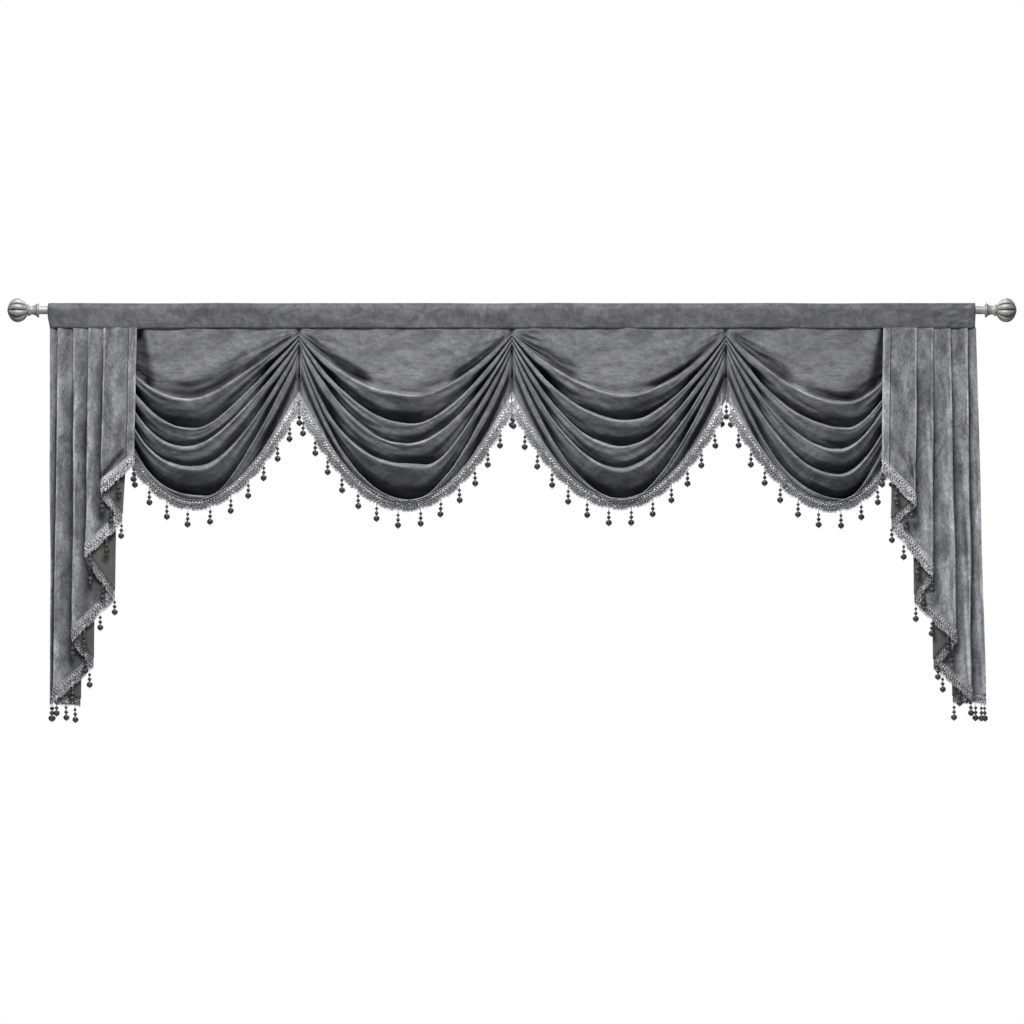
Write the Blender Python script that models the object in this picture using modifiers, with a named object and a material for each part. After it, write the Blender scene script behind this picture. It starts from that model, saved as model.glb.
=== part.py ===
"""Swag and tail drape on its rod, built the way a maker would: a rod-pocket heading, four swags gathered at the
seams between them, a pleated cascade tail over each end, and a beaded lace trim on every hem.

Metres, +Z up. The origin is on the rod's axis at mid-length, and the front of the drape faces -Y. "Out" is the
distance in front of the rod's axis, so a point's Y is minus its out. The sheets are open surfaces thickened with
Solidify; "depth" is measured down from the seam that closes the rod pocket.
"""
import math
from collections import namedtuple

import bmesh
import bpy
import numpy as np

# ---- Driving dimensions -------------------------------------------------------------------------------------
DRAPE_WIDTH = 2.500          # across the rod pocket
ROD_RADIUS = 0.011
ROD_WALL = 0.001
ROD_LENGTH = 2.554           # from collar to collar
GAP = 0.0003                 # between pieces that touch
TRIM_GAP = 0.0008            # between the lace and its cloth, whose folds bend it
CLOTH = 0.0012               # velvet, pile included
TRIM = 0.0012                # lace band
SEAM_DEPTH = 0.050           # from the rod's axis down to the pocket's closing seam
CREST_HEIGHT = 0.020         # from the rod's axis up to the pocket's pressed top fold
TRIM_ON_CLOTH = 0.010        # height of lace sewn over the hem
TRIM_BELOW = 0.015           # height of lace that hangs below it
BEAD_PITCH = 0.061
BEAD_RADIUS = 0.0078

TOP_Z = -SEAM_DEPTH - GAP - 0.0001

# ---- Colours ------------------------------------------------------------------------------------------------
Look = namedtuple("Look", "colour roughness metallic")
LOOKS = {
    "velvet": Look((0.135, 0.137, 0.150), 0.85, 0.0),
    "lace": Look((0.300, 0.300, 0.315), 0.60, 0.1),
    "nickel": Look((0.560, 0.550, 0.530), 0.32, 1.0),
}


def material(name):
    look = LOOKS[name]
    made = bpy.data.materials.new(name)
    made.use_nodes = True
    shader = made.node_tree.nodes["Principled BSDF"]
    shader.inputs["Base Color"].default_value = (*look.colour, 1.0)
    shader.inputs["Roughness"].default_value = look.roughness
    shader.inputs["Metallic"].default_value = look.metallic
    return made


# ---- Small geometry helpers ---------------------------------------------------------------------------------
def smoothstep(t):
    t = np.clip(t, 0.0, 1.0)
    return t * t * (3.0 - 2.0 * t)


def lerp(a, b, t):
    return a + (b - a) * t


def unit(v):
    return v / np.maximum(np.linalg.norm(v, axis=-1, keepdims=True), 1e-9)


def clear_scene():
    for obj in list(bpy.data.objects):
        bpy.data.objects.remove(obj)


def add_object(name, data, collection, look=None):
    obj = bpy.data.objects.new(name, data)
    collection.objects.link(obj)
    if look is not None:
        data.materials.append(look)
    return obj


def sheet_object(name, points, thickness, collection, look):
    """A cloth or lace sheet: a grid whose vertices sit at points[row, column], thickened evenly to both sides."""
    rows, columns = points.shape[:2]
    bm = bmesh.new()
    bmesh.ops.create_grid(bm, x_segments=columns - 1, y_segments=rows - 1, size=1.0)
    for vertex in bm.verts:
        column = round((vertex.co.x + 1.0) / 2.0 * (columns - 1))
        row = round((1.0 - vertex.co.y) / 2.0 * (rows - 1))
        vertex.co = points[row, column]
    mesh = bpy.data.meshes.new(name)
    bm.to_mesh(mesh)
    bm.free()
    obj = add_object(name, mesh, collection, look)
    solid = obj.modifiers.new("thickness", "SOLIDIFY")
    solid.thickness = thickness
    solid.offset = 0.0
    solid.use_even_offset = True
    return obj


def strip_normals(rows):
    """Even-offset normals of a strip of sheet given as points[row, column], on the side the sheet's face is."""
    along = np.gradient(rows[1], axis=0)
    down = rows[1] - rows[0]
    segments = np.diff(rows[1], axis=0)
    faces = unit(np.cross(0.5 * (down[:-1] + down[1:]), segments))
    padded = np.concatenate([faces[:1], faces, faces[-1:]])
    before, after = padded[:-1], padded[1:]
    mean = unit(before + after)
    stretch = 1.0 / np.maximum((mean * after).sum(-1, keepdims=True), 0.5)
    return mean * stretch, unit(along)


# ---- The rod, its finials and the rod pocket ----------------------------------------------------------------
def turned(name, profile, steps, flip, collection, look):
    """A solid turned about the X axis from a closed or axis-to-axis profile of (x, radius) points."""
    mesh = bpy.data.meshes.new(name)
    closed = profile[0] == profile[-1]
    corners = profile[:-1] if closed else profile
    edges = [(i, i + 1) for i in range(len(corners) - 1)]
    if closed:
        edges.append((len(corners) - 1, 0))
    mesh.from_pydata([(x, 0.0, radius) for x, radius in corners], edges, [])
    obj = add_object(name, mesh, collection, look)
    screw = obj.modifiers.new("turn", "SCREW")
    screw.axis = "X"
    screw.steps = screw.render_steps = steps
    screw.use_merge_vertices = True
    screw.merge_threshold = 1e-5
    screw.use_normal_calculate = True
    screw.use_normal_flip = flip
    return obj


def rod(collection, look):
    half, inner = ROD_LENGTH / 2, ROD_RADIUS - ROD_WALL
    profile = [(-half, inner), (half, inner), (half, ROD_RADIUS), (-half, ROD_RADIUS), (-half, inner)]
    return turned("rod", profile, 24, True, collection, look)


# The finial's turned stem, outward from the rod's end: distance and radius.
Turn = namedtuple("Turn", "reach radius")
PLUG_RADIUS = ROD_RADIUS - ROD_WALL - GAP
FINIAL_STEM = [
    Turn(-0.030, 0.0), Turn(-0.030, PLUG_RADIUS), Turn(GAP, PLUG_RADIUS), Turn(GAP, 0.0190),
    Turn(0.0015, 0.0205), Turn(0.0040, 0.0200), Turn(0.0090, 0.0150), Turn(0.0150, 0.0125),
    Turn(0.0195, 0.0120), Turn(0.0240, 0.0135), Turn(0.0262, 0.0158), Turn(0.0290, 0.0160),
    Turn(0.0310, 0.0145), Turn(0.0400, 0.0145), Turn(0.0400, 0.0),
]
BALL_REACH = 0.0580          # the ball's middle
BALL_INNER, BALL_OUTER = 0.0295, 0.0265   # its half-lengths along the rod
BALL_RADIUS = 0.0328
RIBS = 10
GROOVE = 0.16                # the grooves' depth, as a share of the ball's radius


def finial(side, steps, stem_look, cutters, collection):
    """side is -1 at the left end and 1 at the right end."""
    name = "finial_left" if side < 0 else "finial_right"
    end = side * ROD_LENGTH / 2
    profile = [(end + side * turn.reach, turn.radius) for turn in FINIAL_STEM]
    stem = turned(name, profile, steps, side < 0, collection, stem_look)
    bm = bmesh.new()
    bmesh.ops.create_uvsphere(bm, u_segments=2 * RIBS, v_segments=9, radius=1.0)
    for vertex in bm.verts:
        x, y, z = vertex.co
        turn = math.atan2(y, x)
        rib = 1.0 - GROOVE * (0.5 + 0.5 * math.cos(RIBS * turn)) * (1.0 - abs(z) ** 4)
        half_length = BALL_OUTER if z > 0 else BALL_INNER
        reach = end + side * (BALL_REACH + half_length * z)
        vertex.co = (reach, side * BALL_RADIUS * rib * x, BALL_RADIUS * rib * y)
    bmesh.ops.recalc_face_normals(bm, faces=bm.faces)
    mesh = bpy.data.meshes.new(name + "_ball")
    bm.to_mesh(mesh)
    bm.free()
    ball = add_object(name + "_ball", mesh, cutters)
    ball.hide_render = True
    ball.display_type = "WIRE"
    union = stem.modifiers.new("ball", "BOOLEAN")
    union.operation = "UNION"
    union.object = ball
    return stem


def pocket_loop(radius):
    """The rod pocket's section at one face of its cloth, as (out, z): a pressed top fold, the front hanging
    straight down from the rod, and the back drawn forward to the closing seam."""
    wall = ROD_RADIUS + GAP + CLOTH - radius       # how far this face lies inside the cloth's outer face
    fold_half_angle = math.asin((ROD_RADIUS + GAP + CLOTH) / CREST_HEIGHT)
    crest = radius / math.sin(fold_half_angle)
    bottom = -SEAM_DEPTH + wall
    heel = (-0.0045 + wall, bottom)
    heel_reach = math.hypot(*heel)
    heel_turn = math.atan2(heel[1], heel[0]) + 2 * math.pi - math.acos(radius / heel_reach)
    front = [(radius * math.cos(a), radius * math.sin(a)) for a in np.linspace(fold_half_angle, 0.0, 4)]
    back = [(radius * math.cos(a), radius * math.sin(a)) for a in np.linspace(heel_turn, math.pi - fold_half_angle, 6)]
    return [(0.0, crest), *front, (radius, bottom), heel, *back]


def rod_pocket(collection, look):
    """The heading: a cloth tube, open at both ends, that the rod runs through."""
    curve = bpy.data.curves.new("rod_pocket", "CURVE")
    curve.dimensions = "2D"
    curve.fill_mode = "BOTH"
    curve.extrude = DRAPE_WIDTH / 2
    for radius in (ROD_RADIUS + GAP + CLOTH, ROD_RADIUS + GAP):
        loop = pocket_loop(radius)
        spline = curve.splines.new("POLY")
        spline.points.add(len(loop) - 1)
        for point, (out, z) in zip(spline.points, loop):
            point.co = (-out, z, 0.0, 1.0)
        spline.use_cyclic_u = True
    obj = add_object("rod_pocket", curve, collection, look)
    obj.rotation_euler = (math.pi / 2, 0.0, math.pi / 2)
    return obj


# ---- The swags ----------------------------------------------------------------------------------------------
# A swag hangs between two gathers. Its folds are crests that run from gather to gather; "crests" holds each one's
# depth at mid-swag. "lean" moves its lowest point sideways, and "first_bead" is the trim's length before its first
# drop. At an outer end, which the tail covers, the cloth lies back against the tail.
Swag = namedtuple("Swag", "name left right lean hem crests first_bead beads")
OUTER_GATHER, SEAM_LEFT, SEAM_MID, SEAM_RIGHT = 1.101, -0.5752, 0.0, 0.5779
SWAGS = [
    Swag("swag_1", -OUTER_GATHER, SEAM_LEFT, -0.018, 0.4710, (0.188, 0.269, 0.318, 0.374, 0.451), 0.128, 12),
    Swag("swag_2", SEAM_LEFT, SEAM_MID, 0.000, 0.4740, (0.175, 0.258, 0.312, 0.372, 0.456), 0.034, 14),
    Swag("swag_3", SEAM_MID, SEAM_RIGHT, 0.000, 0.4690, (0.178, 0.250, 0.315, 0.377, 0.451), 0.031, 14),
    Swag("swag_4", SEAM_RIGHT, OUTER_GATHER, 0.022, 0.4760, (0.200, 0.270, 0.328, 0.393, 0.458), 0.028, 12),
]
GATHER_DEPTH = 0.014         # from the seam down to where the folds meet
GATHER_HEIGHT = 0.072        # the height of the stacked folds there
CUSP_DEPTH = 0.190           # from the seam down to where two swags' hems part
SEAM_SLIVER = 0.0005         # each swag stops this short of the seam it shares
SWAG_OUT = 0.0100            # how far out the swag's flat top hangs
OUTER_OUT = 0.0015           # the same at an outer gather, where it lies back under the tail's pleats
OUTER_FLAT, OUTER_RISE = 0.040, 0.085    # the width that lies back there, and the width over which it comes forward
BULGE = (0.020, 0.035, 0.047, 0.057, 0.054)    # how much further out each crest stands, top to bottom
HEM_BULGE = 0.050
FACE_SHARE = 0.55            # how far down a fold its face turns back under, and, as shares of its height,
FACE_BACK = 0.14             # how far back that turn lies,
TROUGH_SHARE = 0.80          # how far down the trough below it would lie on a closed fold,
TROUGH_BACK = 0.42           # how far back it lies,
TROUGH_DIP = 0.34            # and how far it sinks behind the next crest
CLOSED_FOLD = 0.008          # the fold height at which a fold has closed up flat

# One row of the swag's section at mid-swag: its depth and its bulge; how far it folds back and dips down behind the
# crest below, both as shares of the fold's height; and which fold that is, counted from the top.
Row = namedtuple("Row", "depth bulge back dip fold")


def section(swag):
    """The swag's section at mid-swag from its top to its last crest, with a face and a trough in each fold."""
    rows = [Row(0.0, 0.0, 0.0, 0.0, 0)]
    for fold, (crest, following) in enumerate(zip(swag.crests, swag.crests[1:])):
        rows.append(Row(crest, BULGE[fold], 0.0, 0.0, fold))
        for share, back, dip in ((FACE_SHARE, FACE_BACK, 0.0), (TROUGH_SHARE, TROUGH_BACK, TROUGH_DIP)):
            bulge = lerp(BULGE[fold], BULGE[fold + 1], share)
            rows.append(Row(lerp(crest, following, share), bulge, back, dip, fold))
    rows.append(Row(swag.crests[-1], BULGE[-1], 0.0, 0.0, 0))
    return rows


def front_view(swag, turns, depth):
    """The curve of a row on the front view, as the share of the half width and the depth: a parabola that leaves the
    gather steeply and levels out at mid-swag. A turn is 0 at mid-swag and a quarter turn at the gather."""
    first = swag.crests[0]
    below = max(0.0, (depth - first) / (swag.hem - first))
    start = GATHER_DEPTH + GATHER_HEIGHT * below
    return np.sin(turns), lerp(start, max(depth, first), np.cos(turns) ** 2) * min(1.0, depth / first)


def swag_points(swag, turns):
    """The cloth's middle surface as points[row, column]; turns runs from -pi/2 at the left gather to pi/2."""
    middle, half = (swag.left + swag.right) / 2, (swag.right - swag.left) / 2 - SEAM_SLIVER
    outer = np.where(turns < 0, swag.left < SEAM_LEFT, swag.right > SEAM_RIGHT)

    def placed(share, depth, out):
        bulge_share = np.where(outer, smoothstep(1.0 - share), 1.0 - share ** 1.8)
        forward = smoothstep((half * (1.0 - share) - OUTER_FLAT) / OUTER_RISE)
        hang = np.where(outer, lerp(OUTER_OUT, SWAG_OUT, forward), SWAG_OUT)
        lean = swag.lean * (1.0 - share ** 2) * np.minimum(1.0, depth / swag.hem)
        x = middle + np.sign(turns) * share * half + lean
        return np.stack([x, -(hang + out * bulge_share), TOP_Z - depth], axis=-1)

    def crest_line(depth):
        return placed(*front_view(swag, np.abs(turns), depth), 0.0)

    # Towards the gathers the folds close up, so each one's depth follows the distance between its crests.
    heights = []
    for crest, following in zip(swag.crests, swag.crests[1:]):
        upper, lower = crest_line(crest), crest_line(following)
        along = unit(np.gradient(lower, axis=0))
        height = np.linalg.norm(np.cross(lower - upper, along), axis=-1)
        heights.append(height * smoothstep((height - CLOSED_FOLD) / CLOSED_FOLD))

    points = []
    for row in section(swag):
        share, depth = front_view(swag, np.abs(turns), row.depth)
        at = placed(share, depth + row.dip * heights[row.fold], row.bulge)
        at[:, 1] += row.back * heights[row.fold]
        points.append(at)
    share = np.abs(np.sin(turns))
    hem = placed(share, lerp(swag.hem, CUSP_DEPTH, share ** 2), HEM_BULGE)
    last = points[-1]
    down = unit(last - hem)
    crossing = np.linalg.norm(np.cross(unit(np.gradient(hem, axis=0)), down), axis=-1, keepdims=True)
    reach = np.minimum(TRIM_ON_CLOTH / np.maximum(crossing, 0.4), 0.8 * np.linalg.norm(last - hem, axis=-1)[:, None])
    return np.array([*points, hem + down * reach, hem])


HALF_SWAG_TURNS = (11, 22, 34, 46, 58, 69, 79, 90)      # the grid's columns, in degrees from mid-swag to the gather
SWAG_TURNS = np.radians([-turn for turn in reversed(HALF_SWAG_TURNS)] + [0, *HALF_SWAG_TURNS])


def trim_surface(points, side_limits=None):
    """The trim's middle surface, three rows: on the cloth, at the hem and below it, in front of the sheet's face."""
    band_top, hem = points[-2], points[-1]
    normal, along = strip_normals(np.stack([band_top, hem]))
    lift = normal * (CLOTH / 2 + TRIM_GAP + TRIM / 2)
    down = unit(hem - band_top)
    crossing = np.sqrt(np.maximum(1.0 - (along * down).sum(-1) ** 2, 0.3))[:, None]
    low = hem + down * TRIM_BELOW / crossing
    rows = np.stack([band_top, hem, low]) + lift
    if side_limits is not None:
        rows[..., 0] = np.clip(rows[..., 0], *side_limits)
    return rows


# A bead drop, as the comb's tooth: rings down from the lace's lower edge, with half width and half thickness. Its
# top is a point inside the lace.
Ring = namedtuple("Ring", "z half_width half_thickness")
DROP = [Ring(-0.0360, 0.0014, 0.0012), Ring(-0.0435, BEAD_RADIUS, 0.0022), Ring(-0.0545, 0.0, 0.0)]
ROOT = 0.70                  # the top's height in the lace below the hem, as a share of it


def bead_drops(name, surface, distances, cutters):
    """All the drops of one trim as one helper mesh: each is a four-sided spindle, hung at its distance along the
    lace's lower edge."""
    hem, low = surface[1], surface[2]
    travelled = np.concatenate([[0.0], np.cumsum(np.linalg.norm(np.diff(low, axis=0), axis=1))])
    bm = bmesh.new()
    for distance in distances:
        edge = np.array([np.interp(distance, travelled, low[:, k]) for k in range(3)])
        root = lerp(edge, [np.interp(distance, travelled, hem[:, k]) for k in range(3)], ROOT)
        made = bmesh.ops.create_uvsphere(bm, u_segments=4, v_segments=len(DROP), radius=1.0)["verts"]
        for vertex in made:
            x, y, z = vertex.co
            level = round(math.acos(max(-1.0, min(1.0, z))) / math.pi * len(DROP))
            if level == 0:
                vertex.co = root
                continue
            ring = DROP[level - 1]
            across = max(math.hypot(x, y), 1e-9)
            offset = (x / across * ring.half_width, y / across * ring.half_thickness, ring.z)
            vertex.co = edge + np.array(offset)
    mesh = bpy.data.meshes.new(name)
    bm.to_mesh(mesh)
    bm.free()
    drops = add_object(name, mesh, cutters)
    drops.hide_render = True
    drops.display_type = "WIRE"
    return drops


def beaded_trim(name, surface, distances, collection, cutters, look):
    """A lace band with its bead drops: one comb along a hem."""
    band = sheet_object(name, surface, TRIM, collection, look)
    union = band.modifiers.new("drops", "BOOLEAN")
    union.operation = "UNION"
    union.object = bead_drops(name + "_drops", surface, distances, cutters)
    return band


# ---- The tails ----------------------------------------------------------------------------------------------
# A tail is one panel pleated back and forth, its front pleat nearest mid-drape. A row for each fold line, from the
# panel's inner edge to its outer edge: distance from mid-drape at the heading and at the hem, and the hem's drop
# below the rod's axis.
Fold = namedtuple("Fold", "x_top x_hem drop")
TAILS = {
    "tail_left": (-1, [
        Fold(1.0120, 1.0160, 0.3950), Fold(1.1015, 1.1060, 0.4720), Fold(1.0290, 1.0465, 0.5485),
        Fold(1.1420, 1.1490, 0.6430), Fold(1.0640, 1.0700, 0.7560), Fold(1.1830, 1.1840, 0.8665),
        Fold(1.1130, 1.1270, 0.9390), Fold(1.2245, 1.2380, 1.0360), Fold(1.1530, 1.1625, 1.0495),
        Fold(1.2470, 1.2455, 1.0440),
    ]),
    "tail_right": (1, [
        Fold(1.0020, 0.9940, 0.4080), Fold(1.0925, 1.0870, 0.5050), Fold(1.0250, 1.0200, 0.5620),
        Fold(1.1370, 1.1330, 0.6940), Fold(1.0760, 1.0830, 0.7670), Fold(1.1830, 1.1970, 0.8720),
        Fold(1.1260, 1.1350, 0.9420), Fold(1.2290, 1.2410, 1.0280), Fold(1.1790, 1.1880, 1.0420),
        Fold(1.2495, 1.2745, 1.0440),
    ]),
}
PLEATS = 9
TOP_OUT, TOP_PITCH = 0.0108, 0.0017      # the front pleat at the heading, and the pleats' spacing behind it
HEM_OUT, HEM_PITCH = 0.0520, 0.0065      # the same at the hems, where the pleats have opened
TOP_FORWARD, HEM_FORWARD = 0.0034, 0.0048    # how far each pair of pleats turns forward past the pair before it
LAST_TURN = 0.85             # the furthest along a pleat that its turn can start, as a share of its width
TAIL_LEVELS = (0.0, 0.20, 0.45, 0.75)
TAIL_BEAD_FIRST, TAIL_BEAD_PITCH, TAIL_BEADS = 0.010, 0.062, 17


def turn_start(near, far, shadow):
    """Where a pleat that runs from near to far starts to turn forward: at the fold in front of it."""
    return lerp(near, far, min((shadow - near) / (far - near), LAST_TURN))


def tail_columns(folds):
    """The columns of the tail's grid, from its inner edge round every fold to its outer edge: each as its place
    (a Fold), its pleat, and whether it stands forward. Where a pleat comes out from behind the pair before it, it
    starts to turn forward to its own outer fold."""
    columns = []
    for pleat in range(PLEATS):
        near, far = folds[pleat], folds[pleat + 1]
        outer = pleat + 1 - pleat % 2
        if pleat < 2:
            middle = Fold(*(lerp(a, b, 0.5) for a, b in zip(near, far)))
        else:
            shadow = folds[outer - 2]
            x_top = turn_start(near.x_top, far.x_top, shadow.x_top)
            x_hem = turn_start(near.x_hem, far.x_hem, shadow.x_hem)
            share = (x_hem - near.x_hem) / (far.x_hem - near.x_hem)
            middle = Fold(x_top, x_hem, lerp(near.drop, far.drop, share))
        for place, forward in ((near, folds[outer] is near), (middle, False), (far, folds[outer] is far)):
            columns.append((place, pleat, forward))
    return columns


def tail_points(side, folds):
    """The tail's middle surface as points[row, column]."""
    columns = []
    for place, pleat, forward in tail_columns(folds):
        levels = np.array([*TAIL_LEVELS, 1.0 - TRIM_ON_CLOTH / (place.drop + TOP_Z), 1.0])
        x = lerp(place.x_top, place.x_hem, levels)
        out = lerp(TOP_OUT - pleat * TOP_PITCH, HEM_OUT - pleat * HEM_PITCH, levels)
        if forward:
            out = out + pleat // 2 * lerp(TOP_FORWARD, HEM_FORWARD, levels)
        columns.append(np.stack([side * x, -out, lerp(TOP_Z, -place.drop, levels)], axis=-1))
    return np.array(columns).transpose(1, 0, 2)


def tail_trim_surface(points, side):
    """Like a swag's trim, on the cloth's face: in front on the pleats that show it, behind on the returns."""
    ordered = points if side > 0 else points[:, ::-1]
    rows = trim_surface(ordered)
    rows[2, :, 2] = ordered[-1][:, 2] - TRIM_BELOW
    return rows if side > 0 else rows[:, ::-1]


# ---- Assembly -----------------------------------------------------------------------------------------------
def main():
    clear_scene()
    drape = bpy.data.collections.new("swag_and_tail_drape")
    helpers = bpy.data.collections.new("helpers")
    for collection in (drape, helpers):
        bpy.context.scene.collection.children.link(collection)
    velvet, lace, nickel = (material(name) for name in ("velvet", "lace", "nickel"))

    rod(drape, nickel)
    for side in (-1, 1):
        finial(side, 24, nickel, helpers, drape)
    rod_pocket(drape, velvet)

    for swag in SWAGS:
        points = swag_points(swag, SWAG_TURNS)
        sheet_object(swag.name, points, CLOTH, drape, velvet)
        limits = (swag.left + 2 * SEAM_SLIVER, swag.right - 2 * SEAM_SLIVER)
        surface = trim_surface(points, limits)
        distances = swag.first_bead + BEAD_PITCH * np.arange(swag.beads)
        beaded_trim("trim_" + swag.name, surface, distances, drape, helpers, lace)

    for name, (side, folds) in TAILS.items():
        points = tail_points(side, folds)
        sheet_object(name, points, CLOTH, drape, velvet)
        surface = tail_trim_surface(points, side)
        distances = TAIL_BEAD_FIRST + TAIL_BEAD_PITCH * np.arange(TAIL_BEADS)
        beaded_trim("trim_" + name, surface, distances, drape, helpers, lace)


main()
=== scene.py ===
"""Looks of the swag and tail drape: velvet folds, openwork lace, bead drops, finials, light and camera.

Metres, +Z up, in the CAD model's frame: the origin is on the rod's axis at mid-length and the front faces -Y.
"out" is the distance in front of the rod's axis, so a point's Y is minus its out. "depth" is measured down
from the seam that closes the rod pocket. Cloth is worked out as grids of points[row, column, xyz].
"""
import math
from collections import namedtuple

import bmesh
import bpy
import numpy as np
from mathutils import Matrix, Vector
from mathutils.bvhtree import BVHTree


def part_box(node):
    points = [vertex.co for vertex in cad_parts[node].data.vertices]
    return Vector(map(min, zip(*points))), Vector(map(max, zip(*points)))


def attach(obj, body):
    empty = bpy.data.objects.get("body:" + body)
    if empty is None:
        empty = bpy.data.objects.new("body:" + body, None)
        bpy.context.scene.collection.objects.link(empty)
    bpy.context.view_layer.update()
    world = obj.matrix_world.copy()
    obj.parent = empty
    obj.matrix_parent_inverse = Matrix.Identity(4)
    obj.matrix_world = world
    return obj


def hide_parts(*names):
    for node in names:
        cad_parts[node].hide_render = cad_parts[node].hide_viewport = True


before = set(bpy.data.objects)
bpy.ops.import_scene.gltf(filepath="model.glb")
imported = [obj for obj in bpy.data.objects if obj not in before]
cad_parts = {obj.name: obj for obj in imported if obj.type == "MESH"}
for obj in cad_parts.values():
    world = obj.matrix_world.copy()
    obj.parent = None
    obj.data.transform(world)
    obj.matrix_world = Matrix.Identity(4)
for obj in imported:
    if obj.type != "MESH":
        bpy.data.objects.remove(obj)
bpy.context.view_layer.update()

# ---- Sizes shared with the CAD model ----------------------------------------
POCKET_LOW, POCKET_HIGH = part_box("rod_pocket")
ROD_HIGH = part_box("rod")[1]
POCKET_HALF = round(POCKET_HIGH.x, 4)
SEAM_DEPTH = round(-POCKET_LOW.z, 4)         # from the rod's axis down to the pocket's closing seam
CREST_HEIGHT = round(POCKET_HIGH.z, 4)       # from the rod's axis up to the pocket's pressed top fold
ROD_HALF = round(ROD_HIGH.x, 4)              # half the rod's length, from collar to collar
ROD_RADIUS = round(ROD_HIGH.z, 4)
GAP = 0.0003
CLOTH = 0.0012               # velvet, pile included
TOP_Z = -SEAM_DEPTH - 0.0004
SEWN_IN = 0.003              # how far the cloth's top edge goes up into that seam
OUTER_GATHER, SEAM_LEFT, SEAM_MID, SEAM_RIGHT = 1.101, -0.5752, 0.0, 0.5779
CUSP_DEPTH = 0.190           # from the seam down to where two swags' hems part
SEAM_SLIVER = 0.0005         # each swag stops this short of the seam it shares
LACE_BELOW = 0.015           # depth below the hem at which the lace's length is measured
BEAD_PITCH = 0.061


# ---- Number helpers ---------------------------------------------------------
def smoothstep(t):
    t = np.clip(t, 0.0, 1.0)
    return t * t * (3.0 - 2.0 * t)


def rise(t, start, span):
    """Climbs smoothly from 0 at start to 1 at start + span. The span may be negative."""
    return smoothstep((t - start) / span)


def bell(t, width):
    return np.exp(-((t / width) ** 2))


def hill(t, centre, width):
    """A soft hill of height 1 around centre, nothing beyond width."""
    return smoothstep(1.0 - np.abs(t - centre) / width)


def lerp(a, b, t):
    return a + (b - a) * t


def unit(v):
    return v / np.maximum(np.linalg.norm(v, axis=-1, keepdims=True), 1e-9)


def soft_maximum(a, b, blend):
    """The larger of two curves, rounded off where they cross."""
    return 0.5 * (a + b + np.sqrt((a - b) ** 2 + blend**2)) - 0.25 * blend


def smoothed(values, rounds=3):
    for _ in range(rounds):
        padded = np.concatenate([values[:1], values, values[-1:]])
        values = (padded[:-2] + 2.0 * padded[1:-1] + padded[2:]) / 4.0
    return values


def travelled(points):
    """The distance along a polyline at each of its points."""
    return np.concatenate([[0.0], np.cumsum(np.linalg.norm(np.diff(points, axis=0), axis=-1))])


def waves(a, b, seed, length_a, length_b, count=14):
    """Smooth random waves, about -1 to 1, over two coordinates, with their typical length in each."""
    random = np.random.default_rng(seed)
    total = np.zeros(np.broadcast(a, b).shape)
    for _ in range(count):
        heading, phase = random.uniform(0.0, 2.0 * math.pi, 2)
        pitch = random.uniform(0.6, 1.6)
        along = math.cos(heading) / (length_a * pitch)
        across = math.sin(heading) / (length_b * pitch)
        total += np.sin(2.0 * math.pi * (a * along + b * across) + phase)
    return total / math.sqrt(count / 2.0) / 1.6


def wander(x, seed, length):
    """The same over one coordinate."""
    return waves(x, 0.0 * x, seed, length, 1.0)


def spline(knots, values, at):
    """A smooth curve through the values at the knots (Catmull-Rom slopes), read at the given places. With a
    single place the values may be rows of points."""
    knots, values = np.asarray(knots, float), np.asarray(values, float)
    slopes = np.gradient(values, knots, axis=0)
    k = np.clip(np.searchsorted(knots, at, side="right") - 1, 0, len(knots) - 2)
    step = knots[k + 1] - knots[k]
    t = (at - knots[k]) / step
    first = values[k] * (2 * t**3 - 3 * t**2 + 1) + slopes[k] * step * (t**3 - 2 * t**2 + t)
    return first + values[k + 1] * (3 * t**2 - 2 * t**3) + slopes[k + 1] * step * (t**3 - t**2)


# ---- Materials --------------------------------------------------------------
TEXTURE_TURN = 0.6           # keeps a texture's own grid from lining up with the cloth's
TEXTURE_SLICE = 0.43         # the height at which flat cloth cuts through a solid texture
VELVET = (0.118, 0.120, 0.132)
PATCH_DARK, PATCH_PALE, STREAK = 0.30, 0.34, 0.26     # how much brushed patches and streaks change the colour
LACE_DARKEST, LACE_PALEST = 0.3, 1.75                 # the lace's colour at -1 and at 1 of the mesh's point attribute: its painted shade and its painted light


def tinted(colour, share):
    return tuple(channel * share for channel in colour)


def add_node(tree, kind, inputs, **settings):
    """A shader node with these settings and inputs, each input a value or another node's output."""
    made = tree.nodes.new("ShaderNode" + kind)
    for name, value in settings.items():
        setattr(made, name, value)
    for socket, value in inputs.items():
        if isinstance(value, bpy.types.NodeSocket):
            tree.links.new(value, made.inputs[socket])
        else:
            made.inputs[socket].default_value = value
    return made


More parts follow.
